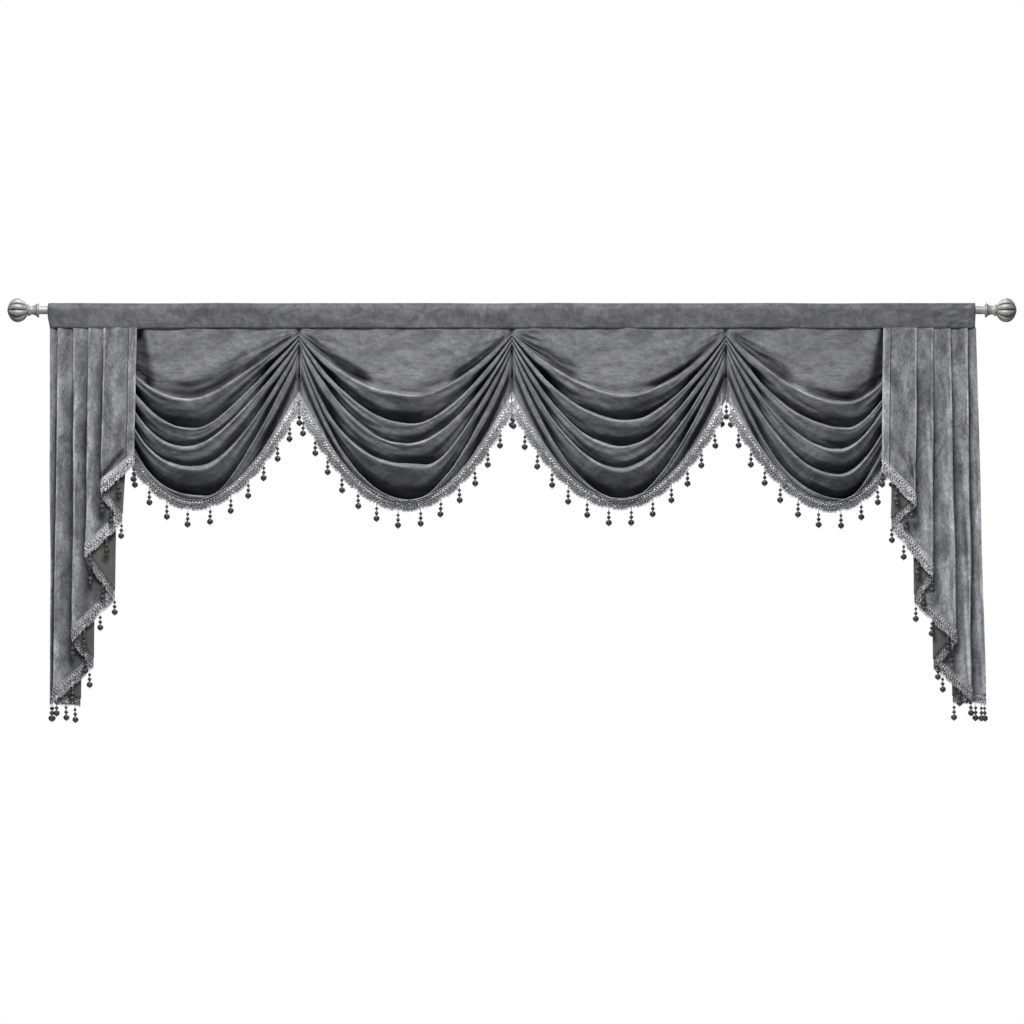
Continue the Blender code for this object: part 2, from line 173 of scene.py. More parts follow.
class Finish:
    """A Principled material under construction."""

    def __init__(self, name, colour, roughness, metallic=0.0):
        self.material = bpy.data.materials.new(name)
        self.material.use_nodes = True
        self.tree = self.material.node_tree
        self.shader = self.tree.nodes["Principled BSDF"]
        self.set(Base_Color=(*colour, 1.0), Roughness=roughness, Metallic=metallic)

    def set(self, **values):
        for name, value in values.items():
            self.shader.inputs[name.replace("_", " ")].default_value = value

    def feed(self, **outputs):
        for name, output in outputs.items():
            self.tree.links.new(output, self.shader.inputs[name.replace("_", " ")])

    def node(self, kind, inputs, **settings):
        return add_node(self.tree, kind, inputs, **settings)

    def coordinates(self, space, scale=1.0, turned=0.0):
        """The surface's coordinates times a scale, which says how many repeats fit in a metre."""
        source = self.node("TexCoord", {}).outputs[space]
        scale = scale if isinstance(scale, tuple) else (scale, scale, scale)
        place = {"Scale": scale, "Rotation": (0.0, 0.0, turned), "Location": (0.0, 0.0, TEXTURE_SLICE)}
        return self.node("Mapping", {"Vector": source, **place}).outputs["Vector"]

    def noise(self, space, scale, detail, rough=0.5, distortion=0.0):
        at = self.coordinates(space, scale, TEXTURE_TURN)
        inputs = {"Vector": at, "Scale": 1.0, "Detail": detail, "Roughness": rough, "Distortion": distortion}
        return self.node("TexNoise", inputs).outputs["Fac"]

    def bands(self, space, scale, direction, distortion=0.0):
        inputs = {"Vector": self.coordinates(space), "Scale": scale, "Distortion": distortion}
        return self.node("TexWave", inputs, bands_direction=direction).outputs["Fac"]

    def ramp(self, factor, *stops):
        """Each stop is a place and a colour, or a place and a grey."""
        made = self.node("ValToRGB", {"Fac": factor})
        elements = made.color_ramp.elements
        while len(elements) < len(stops):
            elements.new(0.5)
        for element, (position, colour) in zip(elements, stops):
            element.position = position
            element.color = (*colour, 1.0) if isinstance(colour, tuple) else (colour, colour, colour, 1.0)
        return made.outputs["Color"]

    def spread(self, factor, low, high):
        """A factor of 0 to 1 spread from low to high."""
        return self.node("MapRange", {"Value": factor, "To Min": low, "To Max": high}).outputs["Result"]

    def mix(self, factor, a, b, blend="MIX"):
        inputs = {0: factor, 6: a, 7: b}
        return self.node("Mix", inputs, data_type="RGBA", blend_type=blend).outputs[2]

    def times(self, base, share):
        return self.mix(1.0, base, share, "MULTIPLY")

    def bump(self, height, strength, distance):
        inputs = {"Height": height, "Strength": strength, "Distance": distance}
        return self.node("Bump", inputs).outputs["Normal"]

    def worn_and_painted_light(self, base, dark, pale):
        """The base colour times a grey picked by the mesh's point attribute, which holds painted highlights,
        painted shade and some of the material's own tone: dark at -1, 1 at 0 and pale at 1.
        """
        wear = self.node("Attribute", {}, attribute_name="wear").outputs["Fac"]
        place = self.node("MapRange", {"Value": wear, "From Min": -1.0}).outputs["Result"]
        return self.times(base, self.ramp(place, (0.0, dark), (0.5, 1.0), (1.0, pale)))


def velvet(name, patch, streak, contrast, shade=1.0):
    """Pile cloth: brushed patches, streaks where the pile lies another way, a sheen at grazing angles and the
    pile's own grain. patch and streak are repeats a metre along the cloth, and shade darkens the whole
    colour. The mesh's point attribute is 1 for a painted highlight along a fold, 0 on open cloth and -1 for
    painted shade inside a fold, with some of the pile's own tone."""
    finish = Finish(name, VELVET, 0.92)
    colour = tinted(VELVET, shade)
    patches = finish.noise("UV", patch, detail=7.0, rough=0.68, distortion=1.3)
    dark, pale = tinted(colour, 1.0 - PATCH_DARK * contrast), tinted(colour, 1.0 + PATCH_PALE * contrast)
    base = finish.ramp(patches, (0.34, dark), (0.50, colour), (0.66, pale))
    streaks = finish.noise("UV", streak, detail=6.0, rough=0.70, distortion=0.5)
    veil = finish.ramp(streaks, (0.36, 1.0 - STREAK * contrast), (0.64, 1.0 + STREAK * contrast))
    base = finish.times(base, veil)
    pile = finish.noise("UV", (900.0, 420.0, 420.0), detail=2.0, rough=0.7)
    grain = finish.ramp(pile, (0.25, (0.84, 0.84, 0.85)), (0.75, (1.15, 1.15, 1.14)))
    base = finish.times(base, grain)
    # Painted highlights and painted shade from the mesh's point attribute scale the colour.
    finish.feed(Base_Color=finish.worn_and_painted_light(base, 0.06, 2.6), Normal=finish.bump(pile, 0.35, 0.0006))
    finish.set(Sheen_Weight=0.36, Sheen_Roughness=0.30, Sheen_Tint=(0.80, 0.82, 0.88, 1.0))
    finish.set(Specular_IOR_Level=0.18)
    return finish.material


def reverse():
    """The velvet's woven back: flat, slightly warm grey with a fine plain weave."""
    finish = Finish("velvet_reverse", (0.075, 0.078, 0.073), 0.95)
    mottle = finish.noise("UV", (30.0, 12.0, 12.0), detail=4.0, rough=0.6)
    base = finish.ramp(mottle, (0.30, (0.058, 0.061, 0.057)), (0.70, (0.094, 0.098, 0.091)))
    weave = finish.mix(0.5, finish.bands("UV", 420.0, "X"), finish.bands("UV", 420.0, "Y"))
    base = finish.times(base, finish.ramp(weave, (0.2, 0.88), (0.8, 1.1)))
    finish.feed(Base_Color=base, Normal=finish.bump(weave, 0.3, 0.0003))
    finish.set(Sheen_Weight=0.12, Sheen_Roughness=0.6, Specular_IOR_Level=0.2)
    return finish.material


def yarn(name, colour, roughness=0.6, sheen=0.10):
    """Twisted thread: its strands show as fine slanting bands, its brightness changes along it, and the
    mesh's point attribute paints it paler or darker by height.
    """
    finish = Finish(name, colour, roughness)
    tone = finish.noise("Object", 60.0, detail=3.0)
    base = finish.ramp(tone, (0.32, tinted(colour, 0.72)), (0.68, tinted(colour, 1.28)))
    twist = finish.bands("Object", 260.0, "DIAGONAL", 2.0)
    base = finish.times(base, finish.ramp(twist, (0.1, 0.80), (0.7, 1.12)))
    base = finish.worn_and_painted_light(base, LACE_DARKEST, LACE_PALEST)
    finish.feed(Base_Color=base, Normal=finish.bump(twist, 0.5, 0.0003))
    finish.set(Sheen_Weight=sheen, Sheen_Roughness=0.3, Specular_IOR_Level=0.5)
    return finish.material


def lace_net(name, threads):
    """The lace's close net: pale threads round small holes painted near-black, a painted shade for the gaps,
    and the lace's painted light by height.
    """
    finish = Finish(name, threads, 0.7)
    inputs = {"Vector": finish.coordinates("Object"), "Scale": 235.0, "Randomness": 0.8}
    cells = finish.node("TexVoronoi", inputs, feature="DISTANCE_TO_EDGE").outputs["Distance"]
    base = finish.ramp(cells, (0.05, threads), (0.22, (0.014, 0.014, 0.017)))
    base = finish.worn_and_painted_light(base, LACE_DARKEST, LACE_PALEST)
    finish.feed(Base_Color=base, Normal=finish.bump(cells, 0.5, 0.0006))
    finish.set(Sheen_Weight=0.1, Sheen_Roughness=0.4, Specular_IOR_Level=0.3)
    return finish.material


def bead_glaze(name, colour):
    """Dark faceted beads with a cloudy tone and small scuffed spots in the polish."""
    finish = Finish(name, colour, 0.30)
    cloud = finish.noise("Object", 120.0, detail=3.0)
    base = finish.ramp(cloud, (0.3, tinted(colour, 0.6)), (0.7, tinted(colour, 1.5)))
    polish = finish.noise("Object", 400.0, detail=2.0)
    finish.feed(Base_Color=base, Roughness=finish.spread(polish, 0.32, 0.54))
    finish.set(Specular_IOR_Level=0.35, Coat_Weight=0.06, Coat_Roughness=0.25)
    return finish.material


def nickel(name, brush):
    """Matt brushed nickel. brush is the lines' repeats a metre along each axis: low along the brushing. The
    mesh's point attribute is 1 for a painted highlight and -1 where the finish has darkened in a groove."""
    finish = Finish(name, (0.30, 0.30, 0.30), 0.55, metallic=0.45)
    lines = finish.noise("Object", brush, detail=4.0, rough=0.7)
    tone = finish.noise("Object", 45.0, detail=3.0)
    base = finish.ramp(tone, (0.30, (0.250, 0.250, 0.250)), (0.70, (0.345, 0.344, 0.342)))
    base = finish.times(base, finish.ramp(lines, (0.30, 0.86), (0.70, 1.10)))
    finish.feed(Base_Color=finish.worn_and_painted_light(base, 0.16, 2.0), Roughness=finish.spread(lines, 0.48, 0.62))
    finish.feed(Normal=finish.bump(lines, 0.12, 0.0002))
    return finish.material


# ---- Mesh helpers -----------------------------------------------------------
def new_object(name, points, faces, materials, looks=None, wear=None):
    """A mesh object. looks says which material each face has; the last argument gives each point a value from
    -1 to 1 of painted light and shade and of the material's own tone.
    """
    mesh = bpy.data.meshes.new(name)
    mesh.from_pydata(points, [], faces)
    if looks is not None:
        mesh.polygons.foreach_set("material_index", looks)
    if wear is not None:
        painted_light_and_wear_layer = mesh.attributes.new("wear", "FLOAT", "POINT")
        painted_light_and_wear_layer.data.foreach_set("value", np.ascontiguousarray(wear, dtype=np.float32).ravel())
    for material in materials:
        mesh.materials.append(material)
    obj = bpy.data.objects.new(name, mesh)
    bpy.context.scene.collection.objects.link(obj)
    return obj


def mend(mesh, weld=False):
    """Turns every face outwards and shades the mesh smooth. Weld first makes points that coincide one."""
    bm = bmesh.new()
    bm.from_mesh(mesh)
    if weld:
        bmesh.ops.remove_doubles(bm, verts=bm.verts, dist=1e-6)
    bmesh.ops.recalc_face_normals(bm, faces=bm.faces)
    bm.to_mesh(mesh)
    bm.free()
    mesh.shade_smooth()


def grid_faces(rows, columns):
    """The faces between neighbouring rows and columns of points."""
    index = np.arange(rows * columns).reshape(rows, columns)
    corners = (index[:-1, :-1], index[1:, :-1], index[1:, 1:], index[:-1, 1:])
    return np.stack([corner.ravel() for corner in corners], axis=-1)


def ring_faces(rings, sides):
    """The faces between neighbouring rings of points, each ring closed on itself."""
    index = np.arange(rings * sides).reshape(rings, sides)
    after = np.roll(index, -1, axis=1)
    return np.stack([index[:-1], index[1:], after[1:], after[:-1]], axis=-1).reshape(-1, 4)


def cloth_object(name, points, wear, face, back):
    """A sheet of cloth through points[row, column], its face and its back in their own materials."""
    faces = grid_faces(*points.shape[:2])
    obj = new_object(name, points.reshape(-1, 3).tolist(), faces.tolist(), (face, back), wear=wear)
    layer = obj.data.uv_layers.new(name="cloth")
    layer.data.foreach_set("uv", cloth_coordinates(points).reshape(-1, 2)[faces.ravel()].ravel())
    obj.data.shade_smooth()
    solid = obj.modifiers.new("thickness", "SOLIDIFY")
    solid.thickness = CLOTH
    solid.offset = 0.0
    solid.material_offset = 1
    return obj


def cloth_coordinates(points):
    """Flat coordinates in metres for a grid: along the rows and down the columns, from its first point."""
    across = np.linalg.norm(np.diff(points, axis=1), axis=-1).mean(axis=0)
    down = np.linalg.norm(np.diff(points, axis=0), axis=-1)
    u = np.concatenate([[0.0], np.cumsum(across)])
    v = np.concatenate([np.zeros((1, points.shape[1])), np.cumsum(down, axis=0)])
    return np.stack([np.broadcast_to(u, v.shape), -v], axis=-1)


def tucked_up(points, wear):
    """Carries a cloth's top edge up into the rod pocket's closing seam, where it is sewn in."""
    top = points[:1] + np.array([0.0, 0.0, SEWN_IN])
    return np.concatenate([top, points]), np.concatenate([wear[:1], wear])


def grid_normals(points):
    """Unit normals of a grid whose rows run to +X and whose columns run down: they point out of its face."""
    return unit(np.cross(np.gradient(points, axis=0), np.gradient(points, axis=1)))


# ---- The swags --------------------------------------------------------------
# Each fold hangs from a crest that runs from gather to gather. "depth" is the crest's depth at its lowest
# point, "low" is where that point is, as a share of the way across, and "left" and "right" say how the crest
# climbs to each gather: 1 is straight and more is rounder. "full" is how deep the fold below it is.
Crest = namedtuple("Crest", "depth low left right full")
# A hollow is pressed into the flat cloth just above the first crest. It starts narrow, widens over its
# "growth", a share of its length, and ends blunt. "start" and "end" are shares of the half swag from -1 to 1.
Hollow = namedtuple("Hollow", "start end growth back height")
Swag = namedtuple("Swag", "name left right lean hem first_bead pitch beads crests hollows seed")
SWAGS = [
    Swag("swag_1", -OUTER_GATHER, SEAM_LEFT, -0.018, 0.4710, 0.117, 0.0639, 12, [
        Crest(0.188, 0.430, 2.20, 0.90, 1.00), Crest(0.269, 0.470, 2.50, 0.85, 0.95),
        Crest(0.319, 0.425, 2.50, 1.20, 0.95), Crest(0.374, 0.480, 3.15, 1.30, 1.10),
        Crest(0.453, 0.530, 3.50, 1.00, 0.60),
    ], [Hollow(-0.62, 0.55, 0.45, 0.017, 0.026), Hollow(0.95, 0.36, 0.80, 0.008, 0.010)], 11),
    Swag("swag_2", SEAM_LEFT, SEAM_MID, 0.000, 0.4740, 0.027, 0.0626, 14, [
        Crest(0.176, 0.555, 2.25, 1.40, 1.00), Crest(0.257, 0.530, 1.95, 1.40, 0.95),
        Crest(0.311, 0.505, 1.90, 1.70, 0.95), Crest(0.369, 0.590, 3.30, 1.15, 1.15),
        Crest(0.464, 0.530, 2.30, 1.40, 0.60),
    ], [Hollow(-0.93, -0.27, 0.70, 0.019, 0.018), Hollow(0.95, 0.38, 0.60, 0.012, 0.011)], 22),
    Swag("swag_3", SEAM_MID, SEAM_RIGHT, 0.000, 0.4690, 0.007, 0.0637, 15, [
        Crest(0.176, 0.540, 1.75, 1.60, 1.00), Crest(0.248, 0.540, 2.05, 1.50, 1.00),
        Crest(0.319, 0.510, 1.85, 1.50, 0.95), Crest(0.377, 0.505, 1.85, 1.60, 1.10),
        Crest(0.463, 0.525, 2.00, 1.35, 0.60),
    ], [Hollow(-0.93, -0.34, 0.75, 0.015, 0.022), Hollow(0.95, 0.22, 0.60, 0.010, 0.010)], 33),
    Swag("swag_4", SEAM_RIGHT, OUTER_GATHER, 0.022, 0.4760, 0.002, 0.0628, 12, [
        Crest(0.198, 0.620, 1.60, 1.40, 1.00), Crest(0.268, 0.620, 2.10, 1.40, 0.90),
        Crest(0.327, 0.580, 1.85, 1.35, 0.95), Crest(0.394, 0.575, 1.95, 1.70, 1.05),
        Crest(0.461, 0.595, 2.40, 1.40, 0.60),
    ], [Hollow(-0.93, -0.26, 0.75, 0.018, 0.022), Hollow(-0.20, 0.62, 0.40, 0.012, 0.016)], 44),
]
GATHERS = (0.014, 0.025, 0.038, 0.054, 0.074)   # the depth each crest heads for at the gather, from the top,
AT_SEAM = (0.014, 0.024, 0.035, 0.047, 0.060)   # and where it meets the seam after a steeper last climb
NEAR_SEAM = 0.10             # how much of the half swag that climb takes
EDGE_GATHER = 0.126          # the same depth for the thin last crest along the hem
EDGE_ABOVE_HEM = 0.0045      # how far above the hem that crest runs at mid-swag
LEAST_FOLD, LEAST_EDGE = 0.0022, 0.003   # the least distance between crests, and from the last to the hem
SWAG_OUT = 0.0100            # how far out the swag's flat top hangs
SEAM_GROOVE = 0.005          # how far back the gathered edges are sewn,
SLIT_BACK = 0.022            # and how much further back they fall below the gather
SLIT_WIDTH = 0.030           # the slit's half width, as a share of the half swag
OUTER_OUT = 0.0015           # how far out the top hangs at an outer gather, back under the tail's pleats
OUTER_FLAT, OUTER_RISE = 0.040, 0.085    # the width that lies back there, and that of its climb forward
BULGE = (0.020, 0.035, 0.047, 0.057, 0.056, 0.053)     # how much further out each crest stands, top to bottom
HEM_BULGE = 0.050
SOFT_LOW = 0.32              # rounds off each crest's lowest point
TAIL_EDGE = 1.007            # distance from mid-drape to the tails' inner edges
BACK_LIMIT = -0.026          # the furthest back that a fold reaches

# A fold's section, from its crest down to behind the next one, as shares of the way to the next crest and of
# the fold's height: where it lies along that way, and how far back its trough goes. Its crest is a narrow
# rounded lip, proud of the cloth above. Towards the gathers the open fold closes up into a round ridge.
OPEN_ALONG = (
    0.000, 0.012, 0.040, 0.070, 0.095, 0.125, 0.180, 0.260, 0.360, 0.460, 0.560, 0.650, 0.740, 0.840,
    0.940, 1.030, 1.080, 1.070, 1.030, 1.004, 1.000,
)
OPEN_BACK = (
    0.000, 0.000, 0.000, 0.000, 0.002, 0.012, 0.044, 0.096, 0.158, 0.220, 0.278, 0.350, 0.434, 0.530,
    0.640, 0.760, 0.900, 0.960, 0.880, 0.500, 0.000,
)
CLOSED_ALONG = (
    0.000, 0.000, 0.040, 0.120, 0.250, 0.430, 0.600, 0.740, 0.830, 0.880, 0.910, 0.935, 0.965, 0.995,
    1.000,
)
CLOSED_BACK = (
    0.000, 0.000, 0.000, 0.000, 0.000, 0.010, 0.060, 0.160, 0.320, 0.560, 0.850, 1.000, 0.950, 0.550,
    0.000,
)
LIP_SHARE, LIP_ROUND = 0.24, 1.6         # how much of the section is the lip's top, and how round that is
NEXT_LIP = (0.93, 0.07)      # where the section starts to go back behind the next lip, and over what share
LIP_BACK = 0.0085            # how far the lip stands proud
CLOSED_LIP = 0.55            # the same at the gathers, as a share of the fold's height
CLOSED_RISE = 0.15           # how far the ridges there stand out past the crests, as a share of that height
CLOSED_DEEP = 2.3            # how much deeper the folds are there
CLOSING = (0.50, 0.36)       # where the folds start to close up, and over what share of the half swag
SEAM_SHALLOW = (0.5, 0.02)   # how much of their depth is left right at a gather, and over what share
TAIL_FLAT = 0.85             # how much shallower the folds are under a tail,
TAIL_FLAT_FROM = (0.66, 0.2)             # where that starts, and over what share
FACE_RIDGE = (0.44, 0.16)    # where a smaller ridge runs on a fold's face, and its width
FACE_GROOVE = (0.62, 0.13)   # the same for the groove below that ridge,
FACE_GROOVE_DEEP = 0.8       # and how deep the groove is for a ridge of height 1
ALLOWANCE_DROP = 0.010       # how far the seam allowance hangs below the hem's cusp
UNEVEN = 0.16                # how much a fold's depth varies along it
RUFFLE, FINE_RUFFLE = 0.0013, 0.0006     # the height of the cloth's uneven surface

# How pale or dark the cloth is painted on the folds, as painted highlights and painted shade in the mesh's
# point attribute, and where along the fold's section.
LINE_PALE, LINE_AT, LINE_WIDTH = 0.66, 0.13, 0.050       # the painted highlight below a crest
FACE_DARK = 0.12                                         # painted shade on the open cloth beside it
RIDGE_PALE, RIDGE_AT, RIDGE_WIDTH = 0.42, 0.56, 0.035    # the fainter painted highlight on a fold's face
UNDER_DARK = 0.34                                        # painted shade on the cloth below that line
CLOSED_PALE, CLOSED_AT, CLOSED_WIDTH = 0.46, 0.24, 0.12  # the painted highlight where the folds have closed up
GATHER_DARK, TROUGH_DARK = 0.38, 1.5                     # painted shade on all the cloth there, and more in its troughs
HOLLOW_SHADE, CORNER_SHADE = 0.85, 0.62                  # painted shade in the hollows, and on the cloth beside the tails

CORNER_BACK = 0.020          # how far back the flat cloth goes where it runs in behind a tail
CORNER_WIDTH = (0.012, 0.052, 0.14)      # how wide that turn is at the top and below, and from what depth on
CORNER_SHADE_WIDTH = (0.020, 0.048, 0.10)                # the same for its shade
TUCK = 0.0034                # how far back the flat cloth is tucked just above the first crest:
TUCK_FULL, TUCK_END = 0.004, 0.026       # how high above it this is deepest, and where it ends

ROWS_PER_FOLD = 29
FLAT_ROWS = 34
COLUMNS = 131
LAST_ROWS = 5


def crest_depth(crest, gather, at_seam, share):
    """The crest's depth along the swag: a curve that climbs from its lowest point towards each gather, and
    steeper still at the seam."""
    near = np.minimum((1.0 - np.abs(share)) / NEAR_SEAM, 1.0)
    across = (1.0 + share) / 2.0
    left = across < crest.low
    reach = np.where(left, crest.low, 1.0 - crest.low)
    power = np.where(left, crest.left, crest.right)
    away = np.abs(across - crest.low) / reach
    start = SOFT_LOW ** power
    climb = (away**2 + SOFT_LOW**2) ** (power / 2) - start
    climb = climb / ((1.0 + SOFT_LOW**2) ** (power / 2) - start)
    return gather + (crest.depth - gather) * (1.0 - climb) - (gather - at_seam) * (1.0 - near) ** 2


def crest_lines(swag, share, x):
    """The depths of the swag's crests, with the thin last one, and of its hem: a parabola between the cusps,
    its lowest point moved sideways by the lean. A line that would cross the one above it runs just below."""
    depths = [crest_depth(crest, *ends, share) for crest, ends in zip(swag.crests, zip(GATHERS, AT_SEAM))]
    hem = np.interp(x, x + swag.lean * (1.0 - share**2), lerp(swag.hem, CUSP_DEPTH, share**2))
    edge_rise = EDGE_ABOVE_HEM + (CUSP_DEPTH - EDGE_GATHER - EDGE_ABOVE_HEM) * np.abs(share) ** 3
    depths.append(hem - edge_rise)
    for lower in range(1, len(depths)):
        depths[lower] = soft_maximum(depths[lower], depths[lower - 1] + LEAST_FOLD, 0.004)
    return depths, soft_maximum(hem, depths[-1] + LEAST_EDGE, 0.002)


def swag_frame(swag):
    """The swag's columns: the share of the half swag from -1 to 1, and X."""
    share = np.sin(np.linspace(-math.pi / 2, math.pi / 2, COLUMNS))
    middle, half = (swag.left + swag.right) / 2, (swag.right - swag.left) / 2 - SEAM_SLIVER
    return share, middle + half * share


def is_outer(swag, share):
    """Whether each column is on the half of the swag whose gather a tail covers."""
    return np.where(share < 0, swag.left < SEAM_LEFT, swag.right > SEAM_RIGHT)


def swag_out(swag, share, bulge):
    """How far out the crests stand along the swag: a full curve, held back under a tail."""
    outer = is_outer(swag, share)
    reach = np.abs(share)
    full = np.where(outer, smoothstep(1.0 - reach), 1.0 - reach**1.8)
    groove = np.where(outer, 0.0, SEAM_GROOVE * rise(reach, 0.965, 0.035))
    half = (swag.right - swag.left) / 2
    forward = rise(half * (1.0 - reach), OUTER_FLAT, OUTER_RISE)
    hang = np.where(outer, lerp(OUTER_OUT, SWAG_OUT, forward), SWAG_OUT)
    return hang + bulge * full - groove


def slit(swag, share, depth):
    """How far back the cloth turns in at a seam, from below the gather to just above the hem."""
    width = rise(np.abs(share), 1.0 - SLIT_WIDTH, SLIT_WIDTH)
    height = rise(depth, 0.040, 0.030) * rise(depth, CUSP_DEPTH - 0.003, -0.022)
    return np.where(is_outer(swag, share), 0.0, SLIT_BACK * width * height)


def profile(values, sample):
    """A section's values read at a share of the way along it."""
    return spline(np.linspace(0.0, 1.0, len(values)), values, sample)


def second_ridge(share, seed):
    """How strongly a smaller ridge shows on a fold's face along the swag: it fades out towards mid-swag."""
    random = np.random.default_rng(seed)
    total = np.zeros_like(share)
    for side in (-1.0, 1.0):
        start, strength = random.uniform(0.15, 0.45), random.uniform(0.05, 0.13)
        total = total + strength * rise(side * share, start, 0.22)
    return total * rise(np.abs(share), 1.0, -0.08)


def spacing(upper, lower, x):
    """The distance between two crests, measured square to the lower one."""
    return (lower - upper) / np.sqrt(1.0 + np.gradient(lower, x) ** 2)


def fold_painted_light(sample, along, trough, ridge_at, ridge, closed, uneven):
    """The painted light across a fold: a painted highlight below the crest, a fainter one on its face, and
    painted shade below that. Where the folds have closed up, the ridges get a painted highlight and all
    behind them painted shade."""
    line = LINE_PALE * bell(sample - LINE_AT, LINE_WIDTH) - FACE_DARK
    faint = RIDGE_PALE * ridge * bell(along - ridge_at, RIDGE_WIDTH)
    under = UNDER_DARK * rise(along, ridge_at, 0.10) * rise(along, 1.25, -0.3)
    closed_line = CLOSED_PALE * bell(sample - CLOSED_AT, CLOSED_WIDTH)
    sheltered = (TROUGH_DARK * rise(trough, 0.02, 0.11) + GATHER_DARK) * closed
    return lerp(line + faint - under, closed_line, closed) * (0.75 + 0.25 * uneven) - sheltered


def swag_points(swag):
    """The swag's middle surface, and its painted highlights and painted shade."""
    share, x = swag_frame(swag)
    depths, hem_depth = crest_lines(swag, share, x)
    outs = [swag_out(swag, share, bulge) for bulge in BULGE]
    reach = np.abs(share)
    closed = rise(reach, *CLOSING)
    fullness = lerp(1.0, CLOSED_DEEP, closed) * lerp(SEAM_SHALLOW[0], 1.0, rise(reach, 1.0, -SEAM_SHALLOW[1]))
    fullness = fullness * np.where(is_outer(swag, share), 1.0 - TAIL_FLAT * rise(reach, *TAIL_FLAT_FROM), 1.0)

    def row(depth, out):
        out = soft_maximum(out, BACK_LIMIT, 0.010) - slit(swag, share, depth)
        return np.stack([x, -out, TOP_Z - depth], axis=-1)

    heights = [spacing(upper, lower, x) for upper, lower in zip(depths, depths[1:])]
    around = [np.minimum(*pair) for pair in zip(heights[:1] + heights, heights + heights[-1:])]
    lips = [lerp(np.minimum(LIP_BACK, 0.4 * height), CLOSED_LIP * height, closed) for height in around]
    rows, wear = flat_rows(swag, share, x, depths[0], outs[0] - lips[0], row)
    for fold, crest in enumerate(swag.crests):
        height = heights[fold]
        uneven = wander(x, swag.seed + fold, 0.16)
        deep = crest.full * fullness * (1.0 + UNEVEN * uneven)
        crease = second_ridge(share, swag.seed + 30 + fold)
        ridge_at = RIDGE_AT + 0.06 * wander(x, swag.seed + 70 + fold, 0.12)
        ridge = np.clip(0.6 + 0.6 * wander(x, swag.seed + 80 + fold, 0.15), 0.0, 1.0)
        for sample in np.linspace(0.0, 1.0, ROWS_PER_FOLD, endpoint=False):
            along = lerp(profile(OPEN_ALONG, sample), profile(CLOSED_ALONG, sample), closed)
            trough = lerp(profile(OPEN_BACK, sample), profile(CLOSED_BACK, sample), closed)
            creased = crease * (hill(along, *FACE_RIDGE) - FACE_GROOVE_DEEP * hill(along, *FACE_GROOVE))
            back = (trough - creased) * height * deep
            back = back + lips[fold] * max(0.0, 1.0 - sample / LIP_SHARE) ** LIP_ROUND
            back = back + lips[fold + 1] * rise(sample, *NEXT_LIP)
            forward = CLOSED_RISE * closed * height * math.sin(math.pi * sample)
            out = lerp(outs[fold], outs[fold + 1], np.clip(along, 0.0, 1.0)) - back + forward
            rows.append(row(lerp(depths[fold], depths[fold + 1], along), out))
            wear.append(fold_painted_light(sample, along, trough, ridge_at, ridge, closed, uneven))
    last_out, hem_out = outs[-1] - lips[-1], swag_out(swag, share, HEM_BULGE)
    for sample in np.linspace(0.0, 1.0, LAST_ROWS + 1):
        rows.append(row(lerp(depths[-1], hem_depth, sample), lerp(last_out, hem_out, sample)))
        wear.append(np.zeros_like(x))
    points = np.array(rows)
    u, v = np.broadcast_arrays(points[..., 0], np.arange(len(points))[:, None] * 0.004)
    ruffle = RUFFLE * waves(u, v, swag.seed + 50, 0.14, 0.032)
    ruffle = ruffle + FINE_RUFFLE * waves(u, v, swag.seed + 60, 0.06, 0.016)
    quiet = 0.25 + 0.75 * rise(reach, 1.0, -0.25)
    return points + grid_normals(points) * (ruffle * quiet)[..., None], np.clip(wear, -1.0, 1.0)


def corner_width(depth, top, below, reached):
    """A width beside a tail that grows with the depth until that depth is reached."""
    return lerp(top, below, np.clip(depth / reached, 0.0, 1.0))


def flat_rows(swag, share, x, depth, out, row):
    """From the pocket's seam down to the first crest, and its painted shade: nearly flat, with hollows
    pressed in just above the crest, and painted shade in them and beside a tail."""
    square = 1.0 / np.sqrt(1.0 + np.gradient(depth, x) ** 2)
    top_out = swag_out(swag, share, 0.0)
    outer = is_outer(swag, share)
    rows, wear = [], []
    for sample in 1.0 - (1.0 - np.linspace(0.0, 1.0, FLAT_ROWS, endpoint=False)) ** 1.6:
        above = depth * (1.0 - sample) * square
        dip, shade = np.zeros_like(x), np.zeros_like(x)
        for hollow in swag.hollows:
            way = np.clip((share - hollow.start) / (hollow.end - hollow.start), 0.0, 1.0)
            grown = lerp(0.45, 1.0, smoothstep(way / hollow.growth)) * smoothstep(way / 0.06)
            height = np.minimum(hollow.height * lerp(0.35, 1.0, grown), depth * square * 0.6)
            shape = smoothstep(above / (0.30 * height)) * smoothstep(1.6 - 0.75 * above / height)
            faded = grown * rise(way, 1.0, -0.22)
            dip = dip + hollow.back * height / hollow.height * faded * shape
            shade = shade + HOLLOW_SHADE * faded * smoothstep((1.2 * height - above) / (0.6 * height))
        turn = corner_width(sample * depth, *CORNER_WIDTH)
        shaded = corner_width(sample * depth, *CORNER_SHADE_WIDTH)
        dip = dip + CORNER_BACK * outer * rise(np.abs(x), TAIL_EDGE - turn, turn)
        shade = shade + CORNER_SHADE * outer * rise(np.abs(x), TAIL_EDGE - shaded, 0.5 * shaded)
        tuck = smoothstep(above / TUCK_FULL) * rise(above, TUCK_END, TUCK_FULL - TUCK_END) * (depth > 0.03)
        rows.append(row(depth * sample, lerp(top_out, out, sample**1.7) - dip - TUCK * tuck))
        wear.append(-shade)
    return rows, wear


